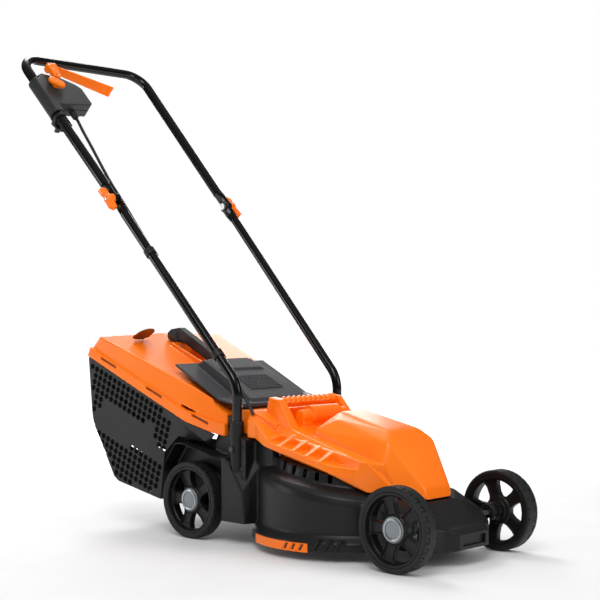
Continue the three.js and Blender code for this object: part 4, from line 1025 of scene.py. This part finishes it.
# ------------------------------------------------------------------ handle
@dataclass
class Handle:
    """Folding tube handle with its switch box, lever and cable."""

    fold: tuple[float, float, float] = (149.0, 700.0, 632.0)
    corner: tuple[float, float, float] = (163.0, 997.6, 940.7)
    knee: tuple[float, float, float] = (134.0, 374.3, 286.1)
    upper_r: float = 10.0
    lower_r: float = 8.75
    cable_r: float = 3.1
    tab_reach: float = 40.0
    tab_half: float = 12.0
    cable: tuple = (
        (-105.9, 894.9, 825.5), (-105.5, 886.5, 816.9), (-105.2, 878.2, 808.2),
        (-112.3, 848, 780), (-119, 806, 738), (-126, 768, 700), (-132, 733, 666),
        (-133.2, 698, 630), (-133.4, 661, 589), (-132.4, 620, 543), (-130.6, 580, 499),
        (-128.7, 540, 456), (-126.9, 500, 413), (-125.2, 460, 371), (-123.8, 425, 334),
        (-123.2, 395, 300), (-121.6, 371, 267), (-121.4, 356, 248), (-122, 345, 232.5))

    def build_tubes(self) -> None:
        """Makes the upper frame and both lower tubes, with their flattened ends."""
        for side, label in ((1, "left"), (-1, "right")):
            fold, knee = Vector(self.fold), Vector(self.knee)
            down = (knee - fold).normalized()
            end = fold + down * self.tab_reach
            bm = bmesh.new()
            points = [(side * p.x, p.y, p.z) for p in (
                Vector((knee.x, knee.y, 135)), knee, end)]
            swept_tube(bm, solid_points(points), 0.06, self.lower_r * MM)
            self._tab(bm, side, down, 143, 148.7, self.lower_r)
            piece_of(bm, f"lower_tube_{label}", TUBE, "chassis", [f"lower_handle_{label}"], 50)
        fold, corner = Vector(self.fold), Vector(self.corner)
        up = (corner - fold).normalized()
        start = fold + up * self.tab_reach
        run = [start, corner, Vector((-corner.x, corner.y, corner.z)),
               Vector((-start.x, start.y, start.z))]
        bm = bmesh.new()
        swept_tube(bm, solid_points(run), 0.042, self.upper_r * MM)
        for side in (1, -1):
            self._tab(bm, side, up, 149.3, 155, self.upper_r)
        piece_of(bm, "upper_tube", TUBE, "handle", ["upper_handle"], 50)

    def _tab(self, bm: bmesh.types.BMesh, side: int, way: Vector, x0: float, x1: float,
             radius: float) -> None:
        """Adds the pressed-flat end of a tube at the fold bolt.

        Args:
            bm: the tube's mesh.
            side: 1 on the left, -1 on the right.
            way: direction of the tube from the bolt, on the left side.
            x0: inner face of the flat.
            x1: outer face of the flat.
            radius: the tube's own radius.
        """
        over = Vector((0, -way.z, way.y)).normalized()
        rings = []
        for s, grow in ((0, 0.0), (22, 0.0), (34, 0.4), (46, 0.85), (56, 1.0)):
            ring = []
            for k in range(24):
                a = math.tau * k / 24
                flat_x = (x0 + x1) / 2 + math.cos(a) * (x1 - x0) / 2
                flat_w = self.tab_half * math.sin(a)
                round_x = (Vector(self.fold) + way * s).x + radius * 0.98 * math.cos(a)
                x = flat_x * (1 - grow) + round_x * grow
                w = flat_w * (1 - grow) + radius * 0.98 * math.sin(a) * grow
                spot = Vector(self.fold) + way * s + over * w
                ring.append((side * x, spot.y, spot.z))
            rings.append(ring)
        for near, far in zip(rings, rings[1:]):
            hull(bm, solid_points(near + far))
        eye = []
        for x in (x0 + 0.3, x1 - 0.3):
            for k in range(24):
                a = math.tau * k / 24
                spot = Vector(self.fold) + self.tab_half * (
                    way * math.cos(a) + over * math.sin(a))
                eye.append((side * x, spot.y, spot.z))
        hull(bm, solid_points(eye))

    def build_fittings(self) -> None:
        """Softens the switch box, lever, button, wing nuts, sockets and clips."""
        for node, name, finish, voxel, rounds, body in (
            ("switch_box_cover", "switch_cover", DARK_PP, 1.1, 10, "handle"),
            ("switch_box_base", "switch_tray", DARK_PP, 1.1, 8, "handle"),
            ("cable_gland", "cable_collar", DARK_PP, 0.5, 3, "handle"),
            ("power_inlet", "plug_inlet", BLACK_PP, 0.8, 2, "handle"),
            ("cable_hook", "lead_hook", BLACK_PP, 0.8, 3, "handle"),
            ("switch_lever", "bail_lever", ORANGE, 0.9, 26, "lever"),
            ("lock_button", "safety_button", ORANGE, 0.7, 4, "button"),
            ("wing_nut_left", "wing_grip_left", ORANGE, 0.7, 4, "wing_nut_left"),
            ("wing_nut_right", "wing_grip_right", ORANGE, 0.7, 4, "wing_nut_right"),
            ("handle_socket_left", "socket_left", BLACK_PP, 0.8, 3, "chassis"),
            ("handle_socket_right", "socket_right", BLACK_PP, 0.8, 3, "chassis"),
            ("cable_clip_lower", "clip_lower", BLACK_PP, 0.7, 2, "chassis"),
            ("cable_clip_upper", "clip_upper", BLACK_PP, 0.7, 2, "chassis"),
        ):
            bm = moulded(copy_of(node), voxel, rounds)
            bm = thin(bm, 60000)
            piece_of(bm, name, finish, body, [node], 60, outward=False)

    def build_cable(self) -> None:
        """Makes the motor cable, with a bend where the handle folds."""
        line = bpy.data.curves.new("cable_line", "CURVE")
        line.dimensions = "3D"
        line.bevel_depth = self.cable_r * MM
        line.bevel_resolution = 4
        line.resolution_u = 10
        line.use_fill_caps = True
        spline = line.splines.new("BEZIER")
        spline.bezier_points.add(len(self.cable) - 1)
        for knot, place in zip(spline.bezier_points, self.cable):
            knot.co = at(*place)
            knot.handle_left_type = knot.handle_right_type = "AUTO"
        holder = bpy.data.objects.new("cable_line", line)
        bpy.context.scene.collection.objects.link(holder)
        ready = holder.evaluated_get(bpy.context.evaluated_depsgraph_get())
        mesh = bpy.data.meshes.new_from_object(ready)
        bpy.data.objects.remove(holder)
        bpy.data.curves.remove(line)
        mesh.name = "cable"
        mesh.materials.clear()
        mesh.materials.append(JACKET.material())
        mesh.polygons.foreach_set("use_smooth", [True] * len(mesh.polygons))
        cable = bpy.data.objects.new("cable", mesh)
        bpy.context.scene.collection.objects.link(cable)
        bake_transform(cable)
        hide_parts("motor_cable")
        LOG.info("cable: %d faces", len(mesh.polygons))

    def build(self) -> None:
        """Makes the handle."""
        self.build_tubes()
        self.build_fittings()
        self.build_cable()


# ------------------------------------------------------------------ metal and the rest
def dress_frame() -> None:
    """Gives every CAD node that stays on show its finish."""
    plain = {
        "flap_hinge_rod": ZINC, "flap_spring": ZINC, "motor_can": ZINC, "motor_shaft": ZINC,
        "blade_bolt": ZINC, "front_axle": ZINC, "rear_axle": ZINC, "lever_pin": ORANGE,
        "socket_screw_left": BLADE, "socket_screw_right": BLADE,
        "cutting_blade": BLADE, "blade_carrier": BLACK_PP, "micro_switch": GREY_PP,
        "skirt_accent_left": ORANGE, "skirt_accent_right": ORANGE,
    }
    for name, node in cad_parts.items():
        if node.hide_render:
            continue
        finish = plain.get(name, ZINC)
        node.data.materials.clear()
        node.data.materials.append(finish.material())
        LOG.info("%s: %s", name, finish.name)


# ------------------------------------------------------------------ stage
@dataclass
class Studio:
    """White floor, soft lights and the camera."""

    camera_at: tuple[float, float, float] = (-1.8288, -1.8489, 0.4347)
    camera_turn: tuple[float, float, float] = (90.0333, 0.0, -46.657)
    lens: float = 81.768
    floor_half: float = 8.0
    horizon: float = 0.1
    zenith: float = 1.0
    mirrored_sky: float = 0.3
    lights: list = field(default_factory=lambda: [
        ("key", (-1.9, -1.4, 2.6), (0, -0.1, 0.2), 1.3, 40.0),
        ("front", (0.9, -3.0, 1.5), (0, -0.2, 0.2), 1.2, 20.0),
        ("ledge", (0.7, 1.5, 2.5), (-0.1, -0.2, 0.2), 1.0, 34.0),
        ("strip", (-2.3, 2.1, 0.9), (-0.1, -0.1, 0.2), 0.6, 12.0),
        ("sheen", (1.6, 1.75, 0.85), (0, -0.1, 0.2), 1.5, 30.0),
    ])

    def build(self) -> None:
        """Makes the floor, the world, the lights and the camera."""
        bm = bmesh.new()
        bmesh.ops.create_grid(bm, x_segments=1, y_segments=1, size=self.floor_half)
        mesh = bpy.data.meshes.new("floor")
        bm.to_mesh(mesh)
        bm.free()
        floor = bpy.data.objects.new("floor", mesh)
        bpy.context.scene.collection.objects.link(floor)
        paper = Finish("white_paper_sweep", "floor", "#DADADA", "#D7D7D7", 0.8, Grain.RUBBER,
                       40.0, 0.01).material()
        tree = paper.node_tree
        away = add_node(tree, "ShaderNodeVectorMath", {"operation": "LENGTH"}, {
            0: add_node(tree, "ShaderNodeTexCoord").outputs["Object"]})
        glow = add_node(tree, "ShaderNodeMapRange", {"interpolation_type": "SMOOTHSTEP"}, {
            "Value": away.outputs["Value"], "From Min": 0.9, "From Max": 2.4,
            "To Min": 0.02, "To Max": 0.7})
        shader = tree.nodes["Principled BSDF"]
        shader.inputs["Emission Color"].default_value = linear("#FFFFFF")
        tree.links.new(glow.outputs[0], shader.inputs["Emission Strength"])
        mesh.materials.append(paper)
        world = bpy.data.worlds.new("studio")
        world.use_nodes = True
        tree = world.node_tree
        heading = add_node(tree, "ShaderNodeSeparateXYZ", inputs={
            "Vector": add_node(tree, "ShaderNodeTexCoord").outputs["Generated"]})
        ceiling = add_node(tree, "ShaderNodeMapRange", inputs={
            "Value": heading.outputs["Z"], "From Min": 0.1, "From Max": 0.95,
            "To Min": self.horizon, "To Max": self.zenith})
        path = add_node(tree, "ShaderNodeLightPath")
        dimmed = add_node(tree, "ShaderNodeMapRange", inputs={
            "Value": path.outputs["Is Glossy Ray"], "To Min": 1.0, "To Max": self.mirrored_sky})
        sky = add_node(tree, "ShaderNodeMath", {"operation": "MULTIPLY"}, {
            0: ceiling.outputs[0], 1: dimmed.outputs[0]})
        soft = tree.nodes["Background"]
        soft.inputs["Color"].default_value = linear("#FFFFFF")
        tree.links.new(sky.outputs[0], soft.inputs["Strength"])
        backdrop = add_node(tree, "ShaderNodeBackground", inputs={
            "Color": linear("#FFFFFF"), "Strength": 1.0})
        both = add_node(tree, "ShaderNodeMixShader", inputs={
            0: path.outputs["Is Camera Ray"], 1: soft.outputs[0], 2: backdrop.outputs[0]})
        tree.links.new(both.outputs[0], tree.nodes["World Output"].inputs["Surface"])
        bpy.context.scene.world = world
        bpy.context.scene.view_settings.view_transform = "Standard"
        for name, spot, aim, size, watts in self.lights:
            data = bpy.data.lights.new(name, "AREA")
            data.size = size
            data.energy = watts
            lamp = bpy.data.objects.new(name, data)
            lamp.location = spot
            lamp.visible_camera = False
            lamp.rotation_euler = (Vector(aim) - Vector(spot)).to_track_quat(
                "-Z", "Y").to_euler()
            bpy.context.scene.collection.objects.link(lamp)
        lens = bpy.data.cameras.new("camera")
        lens.lens = self.lens
        lens.sensor_width = 36.0
        camera = bpy.data.objects.new("camera", lens)
        camera.location = self.camera_at
        camera.rotation_euler = [math.radians(v) for v in self.camera_turn]
        bpy.context.scene.collection.objects.link(camera)
        bpy.context.scene.camera = camera


def main() -> None:
    """Builds the mower's looks, then its stage."""
    logging.basicConfig(level=logging.INFO, format="%(message)s")
    Studio().build()
    for end, y in (("front", 0.0), ("rear", 481.6)):
        for label, side in (("left", 1), ("right", -1)):
            Wheel(f"{end}_wheel_{label}", side, y).build()
    Deck().build()
    Hood().build()
    Flap().build()
    GrassBox().build()
    Handle().build()
    dress_frame()


if __name__ == "__main__":
    main()
